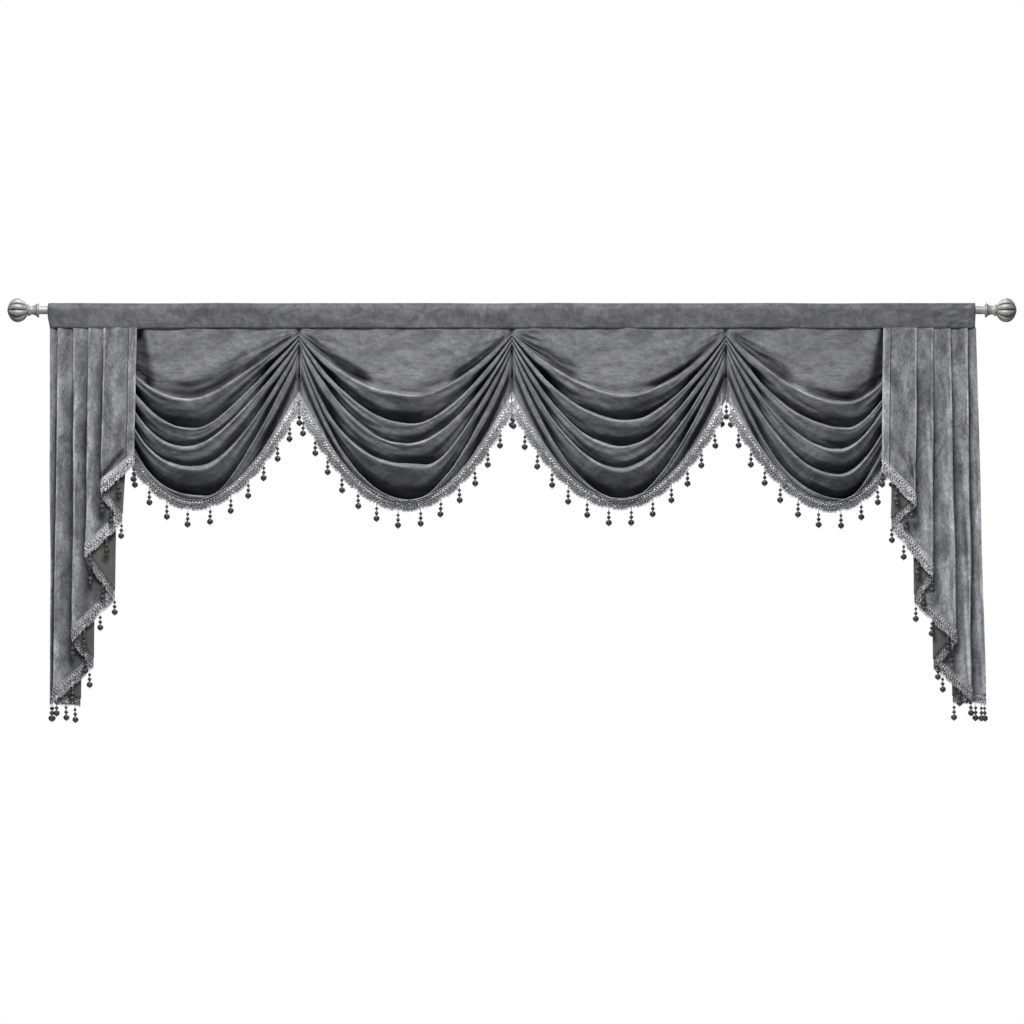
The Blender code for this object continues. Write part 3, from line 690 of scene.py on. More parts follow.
def with_allowance(swag, points, wear):
    """The cloth and its painted light, with the seam allowance that lies behind its right-hand neighbour's
    edge and hangs a little below both, painted in full shade."""
    if swag.right > SEAM_RIGHT:
        return points, wear
    down = np.arange(len(points)) / (len(points) - 1)
    hang = np.array([0.0, 0.0, -ALLOWANCE_DROP]) * rise(down, 0.80, 0.20)[:, None, None]
    edge = points[:, -1:] + hang
    turned, behind = edge + np.array([0.0003, 0.0030, 0.0]), edge + np.array([0.0045, 0.0042, 0.0])
    # The allowance is painted in full shade.
    shade = np.full((len(points), 2), -1.0)
    return np.concatenate([points, turned, behind], axis=1), np.concatenate([wear, shade], axis=1)


# ---- The tails --------------------------------------------------------------
# A tail is one panel pleated back and forth, its front pleat nearest mid-drape. Its fold lines go from the
# panel's inner edge to its outer edge: distance from mid-drape at the heading and at the hem, and the drop of
# the hem below the rod's axis.
Fold = namedtuple("Fold", "x_top x_hem drop")
TAILS = {
    "tail_left": (-1, [
        Fold(1.0120, 1.0160, 0.3950), Fold(1.1015, 1.1060, 0.4720), Fold(1.0290, 1.0465, 0.5485),
        Fold(1.1420, 1.1490, 0.6430), Fold(1.0640, 1.0700, 0.7560), Fold(1.1830, 1.1840, 0.8665),
        Fold(1.1130, 1.1270, 0.9390), Fold(1.2245, 1.2380, 1.0360), Fold(1.1530, 1.1625, 1.0495),
        Fold(1.2470, 1.2455, 1.0440),
    ]),
    "tail_right": (1, [
        Fold(1.0020, 0.9940, 0.4080), Fold(1.0925, 1.0870, 0.5050), Fold(1.0250, 1.0200, 0.5620),
        Fold(1.1370, 1.1330, 0.6940), Fold(1.0760, 1.0830, 0.7670), Fold(1.1830, 1.1970, 0.8720),
        Fold(1.1260, 1.1350, 0.9420), Fold(1.2290, 1.2410, 1.0280), Fold(1.1790, 1.1880, 1.0420),
        Fold(1.2520, 1.2780, 1.0440),
    ]),
}
TOP_OUT, TOP_PITCH = 0.0108, 0.0006      # the front pleat at the heading, and the pleats' spacing there
HEM_OUT, HEM_PITCH = 0.0520, 0.0065      # the same at the hems, where the pleats have opened
TOP_FORWARD, HEM_FORWARD = 0.0012, 0.0048    # how far a pair of pleats turns forward past the one before it
LAST_TURN = 0.85                         # the furthest along a pleat that this turn can start, as a share
FOLD_REACH = 0.0030                      # how wide the turn at a fold is
FOLD_HIGHLIGHT = 0.0036                       # how wide its painted highlight is
TAIL_LEVELS = 94
PLEAT_COLUMNS = 21
TURN_COLUMNS = 8
TAIL_BEAD_FIRST, TAIL_BEAD_PITCH, TAIL_BEADS = 0.001, 0.0592, 19
TAIL_FOOT_BEADS = np.array([0.005, 0.014])   # the drops on the lace's turned-in end, from the outer edge
SIDE_HEM = 0.0240                        # the sewn side hem's width at the inner edge
# More columns round its stitches, as distances from them
HEM_PLACES = np.array([-0.0060, -0.0045, -0.0030, -0.0015, -0.0007, 0.0, 0.0007, 0.0015, 0.0030])
STITCH_BACK, HEM_THICK = 0.0014, 0.0007  # how deep the stitches pull in, and how far the hem stands out
PLEAT_PAINTED_SHADE, PLEAT_PAINTED_HIGHLIGHT = -0.85, 0.30       # painted shade beside the fold in front, and a painted highlight at its own
# Painted light: how much paler the cloth is painted at the foot, on the front pleat and on the others, and
# how late it becomes so
TAIL_PALER = {"tail_left": (0.06, 0.40, 1.3), "tail_right": (0.16, 1.02, 0.7)}
HEM_PALE = {"tail_left": 0.06, "tail_right": 0.26}    # how much paler the sewn side hem is


def pleat_painted_light(edge, pleat, reach):
    """The painted light on a face pleat: painted shade beside the outer fold in front, a painted highlight
    towards its own.
    """
    if pleat < 2 or pleat % 2:
        return 0.0
    start = (edge[pleat - 1] - edge[pleat]) / (edge[pleat + 1] - edge[pleat])
    clear = np.clip((reach - start) / (1.0 - start), 0.0, 1.0)
    return lerp(PLEAT_PAINTED_SHADE, PLEAT_PAINTED_HIGHLIGHT, smoothstep(clear) ** 0.8)


def turned_forward(edge, pleat, reach):
    """How far a place on a pleat has turned forward, its reach being 0 at the near fold and 1 at the far one.
    A pleat starts to turn where it comes out from behind the outer fold in front of it."""
    if pleat < 2:
        return 0.0
    outer = pleat + 1 - pleat % 2
    near, far = edge[pleat], edge[pleat + 1]
    start = min((edge[outer - 2] - near) / (far - near), LAST_TURN)
    way = (reach - start) / (1.0 - start) if pleat % 2 == 0 else (start - reach) / start
    return pleat // 2 * smoothstep(way)


def tail_section(folds, level, seed, paler):
    """One level's section as columns of (x, out, drop, painted light), from the inner edge round every fold
    to the outer edge."""
    pitch = lerp(TOP_PITCH, HEM_PITCH, level)
    front = lerp(TOP_OUT, HEM_OUT, level)
    step = lerp(TOP_FORWARD, HEM_FORWARD, level)
    sway = 0.0016 * (0.25 + 0.75 * level)
    edge = [lerp(fold.x_top, fold.x_hem, level) for fold in folds]
    edge = [x + sway * waves(level, 0.0, seed + i, 0.5, 1.0) for i, x in enumerate(edge)]
    columns = []
    for pleat in range(len(folds) - 1):
        near, far = edge[pleat], edge[pleat + 1]
        outward = 1.0 if far > near else -1.0
        layer = front - pleat * pitch
        first, last = pleat == 0, pleat == len(folds) - 2
        turn = min(FOLD_REACH, 0.2 * abs(far - near))
        start = near if first else near + outward * turn
        stop = far if last else far - outward * turn
        close = (1.0 - np.linspace(0.0, 1.0, PLEAT_COLUMNS)) ** 1.8
        places = 1.0 - close if pleat % 2 == 0 else close[::-1]
        if first:
            places = np.sort(np.append(places, (SIDE_HEM + HEM_PLACES) / abs(far - near)))
        for share in places:
            x = lerp(start, stop, share)
            reach = (x - near) / (far - near)
            out = layer + step * turned_forward(edge, pleat, reach)
            to_fold = abs(far - x) if pleat % 2 == 0 else abs(x - near)
            # A painted highlight along the fold that ends this pleat.
            wear = 0.0 if last else bell(to_fold, FOLD_HIGHLIGHT)
            wear += pleat_painted_light(edge, pleat, reach) * rise(level, 0.05, 0.28)
            wear += paler[min(pleat, 1)] * level ** paler[2]
            columns.append((x, out, lerp(folds[pleat].drop, folds[pleat + 1].drop, reach), wear))
        if not last:
            upper = layer + step * turned_forward(edge, pleat, (stop - near) / (far - near))
            next_reach = (stop - far) / (edge[pleat + 2] - far)
            lower = layer - pitch + step * turned_forward(edge, pleat + 1, next_reach)
            # The turn round a face pleat's fold gets a full painted highlight.
            for angle in np.linspace(0.0, math.pi, TURN_COLUMNS + 2)[1:-1]:
                x = stop + outward * turn * math.sin(angle)
                out = lerp(lower, upper, 0.5 + 0.5 * math.cos(angle))
                columns.append((x, out, folds[pleat + 1].drop, 1.0 if pleat % 2 == 0 else 0.0))
    return np.array(columns, dtype=float)


# Soft creases pressed into the tails: the distance from mid-drape and the height at one end, the same at the
# other, and the half width and depth.
CREASES = {
    "tail_left": [
        (1.046, -0.380, 1.106, -0.452, 0.0065, 0.0078), (1.022, -0.110, 1.106, -0.186, 0.0120, 0.0018),
        (1.012, -0.170, 1.092, -0.240, 0.0090, 0.0012), (1.116, -0.330, 1.130, -0.520, 0.0080, 0.0016),
        (1.040, -0.260, 1.070, -0.380, 0.0100, 0.0014), (1.160, -0.200, 1.172, -0.420, 0.0080, 0.0014),
        (1.140, -0.060, 1.118, -0.110, 0.0050, 0.0012), (1.200, -0.500, 1.215, -0.800, 0.0100, 0.0020),
    ],
    "tail_right": [
        (1.026, -0.165, 1.064, -0.300, 0.0100, 0.0030), (1.096, -0.145, 1.128, -0.070, 0.0060, 0.0014),
        (1.020, -0.340, 1.072, -0.410, 0.0090, 0.0030), (1.050, -0.390, 1.080, -0.450, 0.0045, 0.0040),
        (1.112, -0.250, 1.124, -0.430, 0.0080, 0.0016), (1.160, -0.300, 1.176, -0.560, 0.0090, 0.0016),
        (1.210, -0.420, 1.226, -0.760, 0.0100, 0.0020), (1.150, -0.060, 1.170, -0.115, 0.0060, 0.0012),
        (1.070, -0.385, 1.084, -0.465, 0.0035, 0.0046),
    ],
}
CREASE_DARK = 110.0          # how dark a crease is painted, a painted shade, for each metre of its depth


def creased_back(creases, x, z):
    """How far the creases press each place back."""
    total = np.zeros_like(x)
    for x1, z1, x2, z2, width, depth in creases:
        run = np.array([x2 - x1, z2 - z1])
        way = ((x - x1) * run[0] + (z - z1) * run[1]) / (run @ run)
        off = np.hypot(x - x1 - way * run[0], z - z1 - way * run[1])
        total = total + depth * bell(off, width) * rise(np.abs(way - 0.5), 0.62, -0.24)
    return total


def tail_points(name, side, folds, seed):
    """The tail's middle surface from the heading down to the hem, and its painted light and own tone."""
    rows, wear = [], []
    levels = np.linspace(0.0, 1.0, TAIL_LEVELS)
    for level in levels:
        x, out, drop, worn_and_painted_light = tail_section(folds, level, seed, TAIL_PALER[name]).T
        rows.append(np.stack([side * x, -out, lerp(TOP_Z, -drop, level)], axis=-1))
        patchy = 0.60 + 0.40 * waves(np.arange(len(x)) * 0.03, np.full(len(x), level), seed, 0.2, 0.25)
        wear.append(np.where(worn_and_painted_light > 0.0, worn_and_painted_light * patchy, worn_and_painted_light))
    points, wear = np.array(rows), np.array(wear)
    across = np.broadcast_to(travelled(points[len(points) // 2]), wear.shape)
    z = points[..., 2]
    ruffle = RUFFLE * waves(across, z, seed + 40, 0.045, 0.34)
    ruffle = ruffle + FINE_RUFFLE * waves(across, z, seed + 41, 0.02, 0.09)
    stitch = hill(across, SIDE_HEM, 0.0022)
    hemmed = HEM_THICK * rise(across, SIDE_HEM, -0.001) - STITCH_BACK * stitch
    pressed = creased_back(CREASES[name], np.abs(points[..., 0]), z)
    room = lerp(0.15, 1.0, smoothstep(levels / 0.35))[:, None]
    points[..., 1] -= (ruffle - pressed) * room + hemmed
    # Painted highlights along the side hem's fold and along the inner edge, and a darker line along the
    # stitches.
    rim = 0.35 * hill(across, SIDE_HEM - 0.0035, 0.0022) - 1.3 * stitch + 0.5 * hill(across, 0.0, 0.003)
    pale = HEM_PALE[name] * rise(across, SIDE_HEM, -0.0015) * rise(z, -0.12, -0.12)
    brushed = 0.14 * waves(across, z, seed + 42, 0.04, 0.10)
    # The creases get painted shade.
    wear = np.clip(wear + rim + pale + brushed - CREASE_DARK * pressed, -1.0, 1.0)
    if side < 0:
        return points[:, ::-1], wear[:, ::-1]
    return points, wear


# ---- Lace bands -------------------------------------------------------------
LACE_TOP = -0.0095           # the lace's corded edge, up on the cloth
LACE_LADDER = -0.0062        # the second cord, joined to the first by rungs
LACE_KNOTS = -0.0018         # the row of knots, most of them bright as painted glints
LACE_FAN = 0.0030            # the cord that the fans grow from
LACE_NOTCH, LACE_PEAK = 0.0105, 0.0185    # the lower edge at the notches and at the scallops' tips
LACE_LEVELS = (-0.0120, -0.0095, -0.0070, -0.0045, -0.0020, 0.0, 0.0050, 0.0100, 0.0150, 0.0210)
LACE_OFF = CLOTH / 2 + 0.0002             # how far the lace lies off the cloth's middle
LACE_MEETS, LACE_PARTED = 0.0014, 0.0120  # how far the swags' lace stops from a seam, and from the last one
RUNG_PITCH = 0.0062
KNOT_PITCH = BEAD_PITCH / 7
THREAD = 0.0010
END_INSET = 0.0005           # how far inside the lace's ends its threads stop
FAN_RIBS = 8
FAN_NET = 0.86               # how far down the fans their net goes
PICOT = 0.0034               # how far the small loops stand out along the edge
SCALLOP_STEPS = 25
WOVEN, BRIGHT, NET, FAN_CLOTH = range(4)  # the materials: thread, bright thread for painted glints, upper net and the fans' net
LACE_FOOT_DARK = 0.45        # how much darker the lace is painted at the tails' feet, a painted shade


class Band:
    """A strip along a hem that lace is worked on: places are the length along its lower edge, the distance
    below the hem (negative on the cloth) and the height off the strip."""

    def __init__(self, surface, parted=0.0):
        self.surface, self.parted = surface, parted
        self.length = travelled(spline(LACE_LEVELS, surface, LACE_BELOW))
        self.normals = grid_normals(surface)

    def read(self, grid, along, below):
        column = np.interp(along, self.length, np.arange(len(self.length)))
        row = np.interp(below, LACE_LEVELS, np.arange(len(LACE_LEVELS)))
        c = np.minimum(column.astype(int), grid.shape[1] - 2)
        r = np.minimum(row.astype(int), grid.shape[0] - 2)
        right, down = (column - c)[..., None], (row - r)[..., None]
        upper = lerp(grid[r, c], grid[r, c + 1], right)
        return lerp(upper, lerp(grid[r + 1, c], grid[r + 1, c + 1], right), down)

    def place(self, along, below, above):
        at = self.read(self.surface, along, below)
        return at + unit(self.read(self.normals, along, below)) * np.asarray(above)[..., None]


def swag_band(swag, points, cloth):
    """The strip for a swag's lace: square to the hem but upright at the gathers, and laid on the cloth."""
    hem = points[-1]
    share, _ = swag_frame(swag)
    along = unit(np.gradient(hem, axis=0))
    square = unit(np.cross((0.0, -1.0, 0.0), along))
    square *= np.sign(-square[:, 2:3])
    settle = rise(np.abs(share), 0.93, 0.07)[:, None]
    steep = 1.0 / np.clip(np.abs(along[:, 0:1]), 0.52, 1.0)
    down = lerp(square, np.array([0.0, 0.0, -1.0]) * lerp(1.0, steep, settle), settle)
    tree = BVHTree.FromPolygons(*cloth)
    left, right = (LACE_PARTED if end == SEAM_RIGHT else LACE_MEETS for end in (swag.left, swag.right))
    rows = []
    for level in LACE_LEVELS:
        row = hem + down * level
        row[:, 0] = np.clip(row[:, 0], swag.left + left, swag.right - right)
        if level < 0.0:
            for point in row:
                hit = tree.ray_cast(Vector((point[0], -1.0, point[2])), Vector((0.0, 1.0, 0.0)))[0]
                if hit is not None:
                    point[1] = min(hit.y, point[1] + 0.004)
        else:
            row[:, 1] += 0.10 * level
        rows.append(row)
    surface = np.array(rows)
    for row in surface[:5]:
        row[:, 1] = smoothed(row[:, 1])
    surface[..., 1] -= LACE_OFF
    return Band(surface, right)


def tail_band(points):
    """The strip for a tail's lace: straight on down from the cloth, round every fold."""
    hem = points[-1]
    along = unit(np.gradient(hem, axis=0))
    steep = smoothed(1.0 / np.clip(np.hypot(along[:, 0], along[:, 1]), 0.62, 1.0), 6)
    columns = np.arange(points.shape[1])
    rows = []
    for level in LACE_LEVELS:
        if level < 0.0:
            place = (1.0 + level * steep / (TOP_Z - hem[:, 2])) * (len(points) - 1)
            upper = np.clip(place.astype(int), 0, len(points) - 2)
            rows.append(lerp(points[upper, columns], points[upper + 1, columns], (place - upper)[:, None]))
        else:
            rows.append(hem + np.array([0.0, 0.0, -1.0]) * level * steep[:, None])
    surface = np.array(rows)
    return Band(surface + grid_normals(surface) * LACE_OFF)


def lace_shade(height):
    """The lace's painted light by height: painted paler at the gathers between swags and painted darker at
    the tails' feet.
    """
    return rise(height, -0.38, 0.12) - LACE_FOOT_DARK * rise(height, -0.58, -0.32)


class Threads:
    """Collects lace threads and knots as tubes and beads in band places, then makes one mesh of them."""

    def __init__(self, band):
        self.band, self.points, self.faces, self.looks, self.total = band, [], [], [], 0

    def add(self, points, faces, look):
        self.points.append(points)
        self.faces.append(faces + self.total)
        self.looks.append(np.full(len(faces), look))
        self.total += len(points)

    def thread(self, along, below, above, radius, sides=4):
        """A tube along the given places, its section flat to the band. One of four sides has closed ends."""
        along, below, above = (np.asarray(v, float) for v in np.broadcast_arrays(along, below, above))
        across = unit(np.gradient(np.stack([along, below], axis=-1), axis=0))[:, ::-1] * (1.0, -1.0)
        rings = []
        for turn in np.arange(sides) * 2.0 * math.pi / sides + math.pi / sides:
            shift = across * radius * math.cos(turn)
            lift = radius * math.sin(turn)
            rings.append(self.band.place(along + shift[:, 0], below + shift[:, 1], above + lift))
        faces = ring_faces(len(along), sides)
        if sides == 4:
            end = 4 * (len(along) - 1)
            faces = np.concatenate([faces, [(0, 1, 2, 3), (end + 3, end + 2, end + 1, end)]])
        self.add(np.stack(rings, axis=1).reshape(-1, 3), faces, WOVEN)

    def net(self, along, upper, lower, above, look):
        """A strip of close net between two lines across the band."""
        shares = np.linspace(0.0, 1.0, 4)
        above = np.full(len(along), above)
        rows = [self.band.place(along, lerp(upper, lower, share), above) for share in shares]
        self.add(np.concatenate(rows), grid_faces(len(rows), len(along)), look)

    def knot(self, along, below, above, size, flat, look):
        """A bead of thread: two six-sided cones, base to base, wider than they are high."""
        turns = np.arange(6) * math.pi / 3
        sideways = np.concatenate([[0.0], size * np.cos(turns), [0.0]])
        down = np.concatenate([[0.0], size * np.sin(turns), [0.0]])
        off = np.concatenate([[size * flat], np.zeros(6), [-size * flat]])
        faces = []
        for i in range(6):
            j = (i + 1) % 6
            faces.append((0, 1 + i, 1 + j, 1 + j))
            faces.append((7, 1 + j, 1 + i, 1 + i))
        self.add(self.band.place(along + sideways, below + down, above + off), np.array(faces), look)

    def build(self, name, materials):
        points = np.concatenate(self.points)
        faces = [tuple(dict.fromkeys(face)) for face in np.concatenate(self.faces).tolist()]
        looks = np.concatenate(self.looks)
        obj = new_object(name, points.tolist(), faces, materials, looks, lace_shade(points[:, 2]))
        mend(obj.data)
        return obj


def lace_object(name, band, first, pitch, count, glitter, materials):
    """The whole band of lace, its scallops' notches where the bead drops hang."""
    lace = Threads(band)
    end = band.length[-1]
    run = np.arange(END_INSET, end, 0.0035)
    wobble = 0.0003 * wander(run, 5, 0.02)
    lace.thread(run, LACE_TOP + wobble, 0.0013, THREAD)
    lace.thread(run, LACE_LADDER, 0.0010, 0.7 * THREAD)
    lace.thread(run, LACE_FAN + wobble, 0.0010, 0.7 * THREAD)
    lace.net(run, np.full(len(run), LACE_TOP), np.full(len(run), LACE_FAN), 0.0005, NET)
    for rung in np.arange(0.001, end - 0.001, RUNG_PITCH):
        lace.thread([rung, rung + 0.0006], [LACE_TOP, LACE_LADDER], 0.0007, 0.8 * THREAD, 3)
    knot = KNOT_PITCH * pitch / BEAD_PITCH
    random = np.random.default_rng(count)
    for along in np.arange(knot / 2, end - knot / 2, knot):
        # Three in four of the row's knots are bright: painted glints.
        look = BRIGHT if random.random() < 0.75 else WOVEN
        below = LACE_KNOTS + random.normal(0.0, 0.0005)
        lace.knot(along, below, 0.0014, random.uniform(0.0015, 0.0026), 0.6, look)
        for lean in (-1.0, 1.0):
            places = along + lean * knot / 2 * np.array([-1.0, 0.0, 1.0])
            places = np.clip(places, END_INSET, end - END_INSET)
            lace.thread(places, [LACE_LADDER, LACE_KNOTS, LACE_FAN], 0.0009, 1.2 * THREAD, 3)
    notches = first + pitch * np.arange(-2, count + 2)
    for start, stop in zip(notches, notches[1:]):
        if stop >= 0.002 and start <= end - 0.002:
            lace_scallop(lace, start, stop, random, glitter)
    return lace.build(name, materials)


def lace_scallop(lace, start, stop, random, glitter):
    """One scallop: ribs that spread from the fan cord to the edge, arcs across them, and picots round it."""
    middle, half = (start + stop) / 2, (stop - start) / 2
    last = lace.band.length[-1] - END_INSET

    def inside(values):
        return np.clip(values, END_INSET, last)

    def line(share, reach):
        """The distance below the hem of a line that is this far down from the fan cord to the edge."""
        loops = PICOT * np.abs(np.sin(3.0 * math.pi * share))
        edge = lerp(LACE_NOTCH, LACE_PEAK, np.maximum(1.0 - np.abs(share) ** 2.2, 0.0)) + loops
        return lerp(LACE_FAN, edge, reach)

    shares = np.linspace(-1.0, 1.0, SCALLOP_STEPS)
    cord = np.full(SCALLOP_STEPS, LACE_FAN)
    lace.net(inside(middle + half * shares), cord, line(shares, FAN_NET), 0.0003, FAN_CLOTH)
    for reach in (0.36, 0.70, 1.0):
        places = inside(middle + half * shares * (0.94 + 0.06 * reach))
        lace.thread(places, line(shares, reach), 0.0008, THREAD, 3)
    downward = np.array([0.0, 0.5, 1.0])
    for share in (np.arange(FAN_RIBS) + 0.5) / FAN_RIBS * 2.0 - 1.0:
        places = inside(middle + half * share * lerp(0.90, 1.0, downward))
        lace.thread(places, line(share, downward), 0.0008, 1.15 * THREAD, 3)
    for reach in (0.10, 0.45, 0.80, 1.02):
        for share in np.linspace(-5 / 6, 5 / 6, 6) + random.normal(0.0, 0.05 * (reach < 1.0), 6):
            along = middle + half * share
            if 0.003 < along < last - 0.003:
                size = random.uniform(0.0012, 0.0024)
                # A bright knot is a painted glint.
                look = BRIGHT if random.random() < glitter else WOVEN
                lace.knot(along, line(share, reach), 0.0010, size, 0.7, look)


# ---- Bead drops -------------------------------------------------------------
# A drop hangs from a notch: a sleeve of pale thread, seed beads, two bicone beads, a faceted ball and a stop,
# all on a string. Each part is a turned outline of (radius, height above its own middle), the depth of its
# middle below the notch, its number of sides and its material.
Turned = namedtuple("Turned", "outline middle sides look")
SLEEVE, STOP, BEAD, STRING = range(4)
SEED_BEADS = (0.0108, 0.0142, 0.0256)     # the seed beads' middles, between the other parts
DROP_PARTS = [
    Turned([
        (0.0, 0.0012), (0.0012, 0.0008), (0.0017, -0.0015), (0.0013, -0.0060), (0.0007, -0.0095),
        (0.0, -0.0100),
    ], 0.0, 8, SLEEVE),
    Turned([(0.0, 0.0005), (0.0005, 0.0), (0.0005, -0.0420), (0.0, -0.0425)], 0.0085, 5, STRING),
    Turned([
        (0.0, 0.0045), (0.0015, 0.0044), (0.0031, 0.0026), (0.0047, 0.0006), (0.0047, -0.0006),
        (0.0031, -0.0026), (0.0015, -0.0044), (0.0, -0.0045),
    ], 0.0200, 8, BEAD),
    *(Turned([(0.0, 0.0015), (0.0017, 0.0), (0.0, -0.0015)], middle, 6, STRING) for middle in SEED_BEADS),
    Turned([
        (0.0, 0.0056), (0.0016, 0.0055), (0.0036, 0.0033), (0.0056, 0.0007), (0.0056, -0.0007),
        (0.0036, -0.0033), (0.0016, -0.0055), (0.0, -0.0056),
    ], 0.0322, 8, BEAD),
    Turned([
        (0.0, 0.0083), (0.0024, 0.0080), (0.0059, 0.0057), (0.0081, 0.0026), (0.0085, 0.0),
        (0.0081, -0.0026), (0.0059, -0.0057), (0.0024, -0.0080), (0.0, -0.0083),
    ], 0.0465, 11, BEAD),
    Turned([
        (0.0, 0.0010), (0.0017, 0.0006), (0.0019, -0.0006), (0.0010, -0.0022), (0.0, -0.0026),
    ], 0.0546, 6, STOP),
]
SWAY = 0.022                 # how far a drop swings out of the upright, as a share of its length


def turned_part(part, twist):
    """Points and faces of one closed turned part whose outline starts and ends on the axis."""
    turns = twist + 2.0 * math.pi * np.arange(part.sides) / part.sides
    circle = np.stack([np.cos(turns), np.sin(turns), 0.0 * turns], axis=-1)
    rings = [circle * radius + (0.0, 0.0, z - part.middle) for radius, z in part.outline[1:-1]]
    top, foot = ([(0.0, 0.0, part.outline[end][1] - part.middle)] for end in (0, -1))
    points = np.concatenate([top, *rings, foot])
    last = len(points) - 1
    faces = (1 + ring_faces(len(rings), part.sides)).tolist()
    for i in range(part.sides):
        j = (i + 1) % part.sides
        faces.append((0, 1 + i, 1 + j))
        faces.append((last - part.sides + i, last, last - part.sides + j))
    return points, faces


def drops_object(name, band, places, seed, materials):
    """All the bead drops of one hem as one piece. places are their distances along the band."""
    random = np.random.default_rng(seed)
    points, faces, looks, total = [], [], [], 0
    for at in places:
        notch = band.place(np.array([at]), np.array([LACE_NOTCH]), np.array([0.0006]))[0]
        past = min(max(at - band.length[-1], 0.0), band.parted)
        notch += np.array([past, 0.0, 1.6 * past])
        sway_x, sway_y = random.normal(0.0, SWAY, 2)
        for part in DROP_PARTS:
            made, part_faces = turned_part(part, random.uniform(0.0, 6.28))
            swung = made - made[:, 2:] * (sway_x, -abs(sway_y), 0.0)
            points.append(swung + notch)
            faces.extend(tuple(corner + total for corner in face) for face in part_faces)
            looks.extend([part.look] * len(part_faces))
            total += len(made)
    obj = new_object(name, np.concatenate(points).tolist(), faces, materials, looks)
    bevel = obj.modifiers.new("worn facet edges", "BEVEL")
    bevel.width = 0.00018
    bevel.segments = 1
    bevel.limit_method = "ANGLE"
    bevel.angle_limit = math.radians(20)
    return obj


# ---- The rod pocket, rod and finials ----------------------------------------
POCKET_LEFT, POCKET_RIGHT = POCKET_HALF + 0.0030, POCKET_HALF + 0.0005   # from mid-drape to the pocket's ends
POCKET_COLUMNS = 270
POCKET_LEFT_DARK = 0.42      # the pressed patches towards its left end
WRINKLE_PALE, WRINKLE_DARK = 0.40, 0.25                  # painted highlights and painted shade of the wrinkles towards its right end
# The fold pressed along its top: out, and height from the sharp edge that its two flat sides would meet in
RIDGE = ((-0.0028, -0.0030), (-0.0012, -0.0009), (0.0, -0.0004), (0.0012, -0.0009), (0.0028, -0.0030))


def pocket_section():
    """The pocket's closed section as (out, z) of the cloth's middle: up the back and down the front."""
    radius = ROD_RADIUS + GAP + CLOTH / 2
    fold_half_angle = math.asin((ROD_RADIUS + GAP + CLOTH) / CREST_HEIGHT)
    crest = radius / math.sin(fold_half_angle)
    bottom = -SEAM_DEPTH + CLOTH / 2
    heel = [(-0.0040, bottom), (-0.0056, bottom + 0.0014), (-0.0064, bottom + 0.005)]
    back_angles, front_angles = np.linspace(-0.45, fold_half_angle, 9), np.linspace(fold_half_angle, 0.0, 7)
    back = [(-radius * math.cos(a), radius * math.sin(a)) for a in back_angles]
    front = [(radius * math.cos(a), radius * math.sin(a)) for a in front_angles]
    ridge = [(out, crest + height) for out, height in RIDGE]
    skirt = [(radius + 0.0004, z) for z in np.linspace(-0.006, bottom + 0.006, 9)]
    close = [(radius - 0.0002, bottom + 0.003), (radius - 0.0012, bottom + 0.0006)]
    rising, falling = lerp(np.array(back[-1]), ridge[0], 0.5), lerp(np.array(ridge[-1]), front[0], 0.5)
    return np.array([*heel, *back, rising, *ridge, falling, *front, *skirt, *close, heel[0]])


def pocket_points():
    share = np.sin(np.linspace(-math.pi / 2, math.pi / 2, POCKET_COLUMNS)) * 0.25
    share = share + 0.75 * np.linspace(-1.0, 1.0, POCKET_COLUMNS)
    left = share < 0.0
    rows = []
    for out, z in pocket_section():
        low, high = rise(z, -0.012, -0.040), rise(z, 0.014, 0.006) ** 2
        slant = np.where(left, 0.0060, 0.0012) * low + np.where(left, 0.0040, 0.0010) * high
        x = share * (np.where(left, POCKET_LEFT, POCKET_RIGHT) - slant)
        level = np.full_like(x, z)
        sag = 0.00070 * waves(x, level, 7, 0.22, 0.06) + 0.00035 * waves(x, level, 8, 0.05, 0.05)
        y = -(out + sag * rise(out, -0.002, 0.010))
        rows.append(np.stack([x, y, z + 0.0006 * wander(x, 9, 0.30)], axis=-1))
    return np.array(rows)


def pocket_pressing_and_painted_light(points):
    """The pocket's pile: pressed dark in patches towards the left end, and wrinkles towards the right drawn
    as painted highlights and painted shade.
    """
    x, z = points[..., 0], points[..., 2]
    left, right = rise(x, -1.12, -0.10), rise(x, 1.10, 0.10)
    patches = np.clip(waves(x, z, 21, 0.050, 0.040), 0.0, 1.0)
    wrinkles = waves(x + 0.7 * z, z - 0.5 * x, 22, 0.060, 0.013)
    pale = WRINKLE_PALE * np.clip(wrinkles - 0.3, 0.0, 1.0)
    dark = WRINKLE_DARK * np.clip(-wrinkles, 0.0, 1.0)
    return right * (pale - dark) - POCKET_LEFT_DARK * left * patches


STEM = [
    (-0.0300, 0.0), (-0.0300, 0.0096), (0.0003, 0.0096), (0.0003, 0.0186), (0.0006, 0.0194),
    (0.0014, 0.0203), (0.0026, 0.0206), (0.0038, 0.0202), (0.0046, 0.0192), (0.0052, 0.0180),
    (0.0068, 0.0166), (0.0090, 0.0150), (0.0115, 0.0137), (0.0145, 0.0127), (0.0175, 0.0121),
    (0.0200, 0.0120), (0.0222, 0.0125), (0.0238, 0.0136), (0.0246, 0.0148), (0.0254, 0.0157),
    (0.0266, 0.0162), (0.0280, 0.0162), (0.0291, 0.0157), (0.0298, 0.0148), (0.0304, 0.0143),
    (0.0400, 0.0143), (0.0400, 0.0),
]
STEM_STEPS = 72
BALL_REACH = 0.0580          # the ball's middle
BALL_INNER, BALL_OUTER = 0.0295, 0.0265   # its half-lengths along the rod
BALL_RADIUS = 0.0328
BALL_STEPS, BALL_RINGS = 140, 50
RIBS = 10
GROOVE = 0.20                # the grooves' depth, as a share of the ball's radius
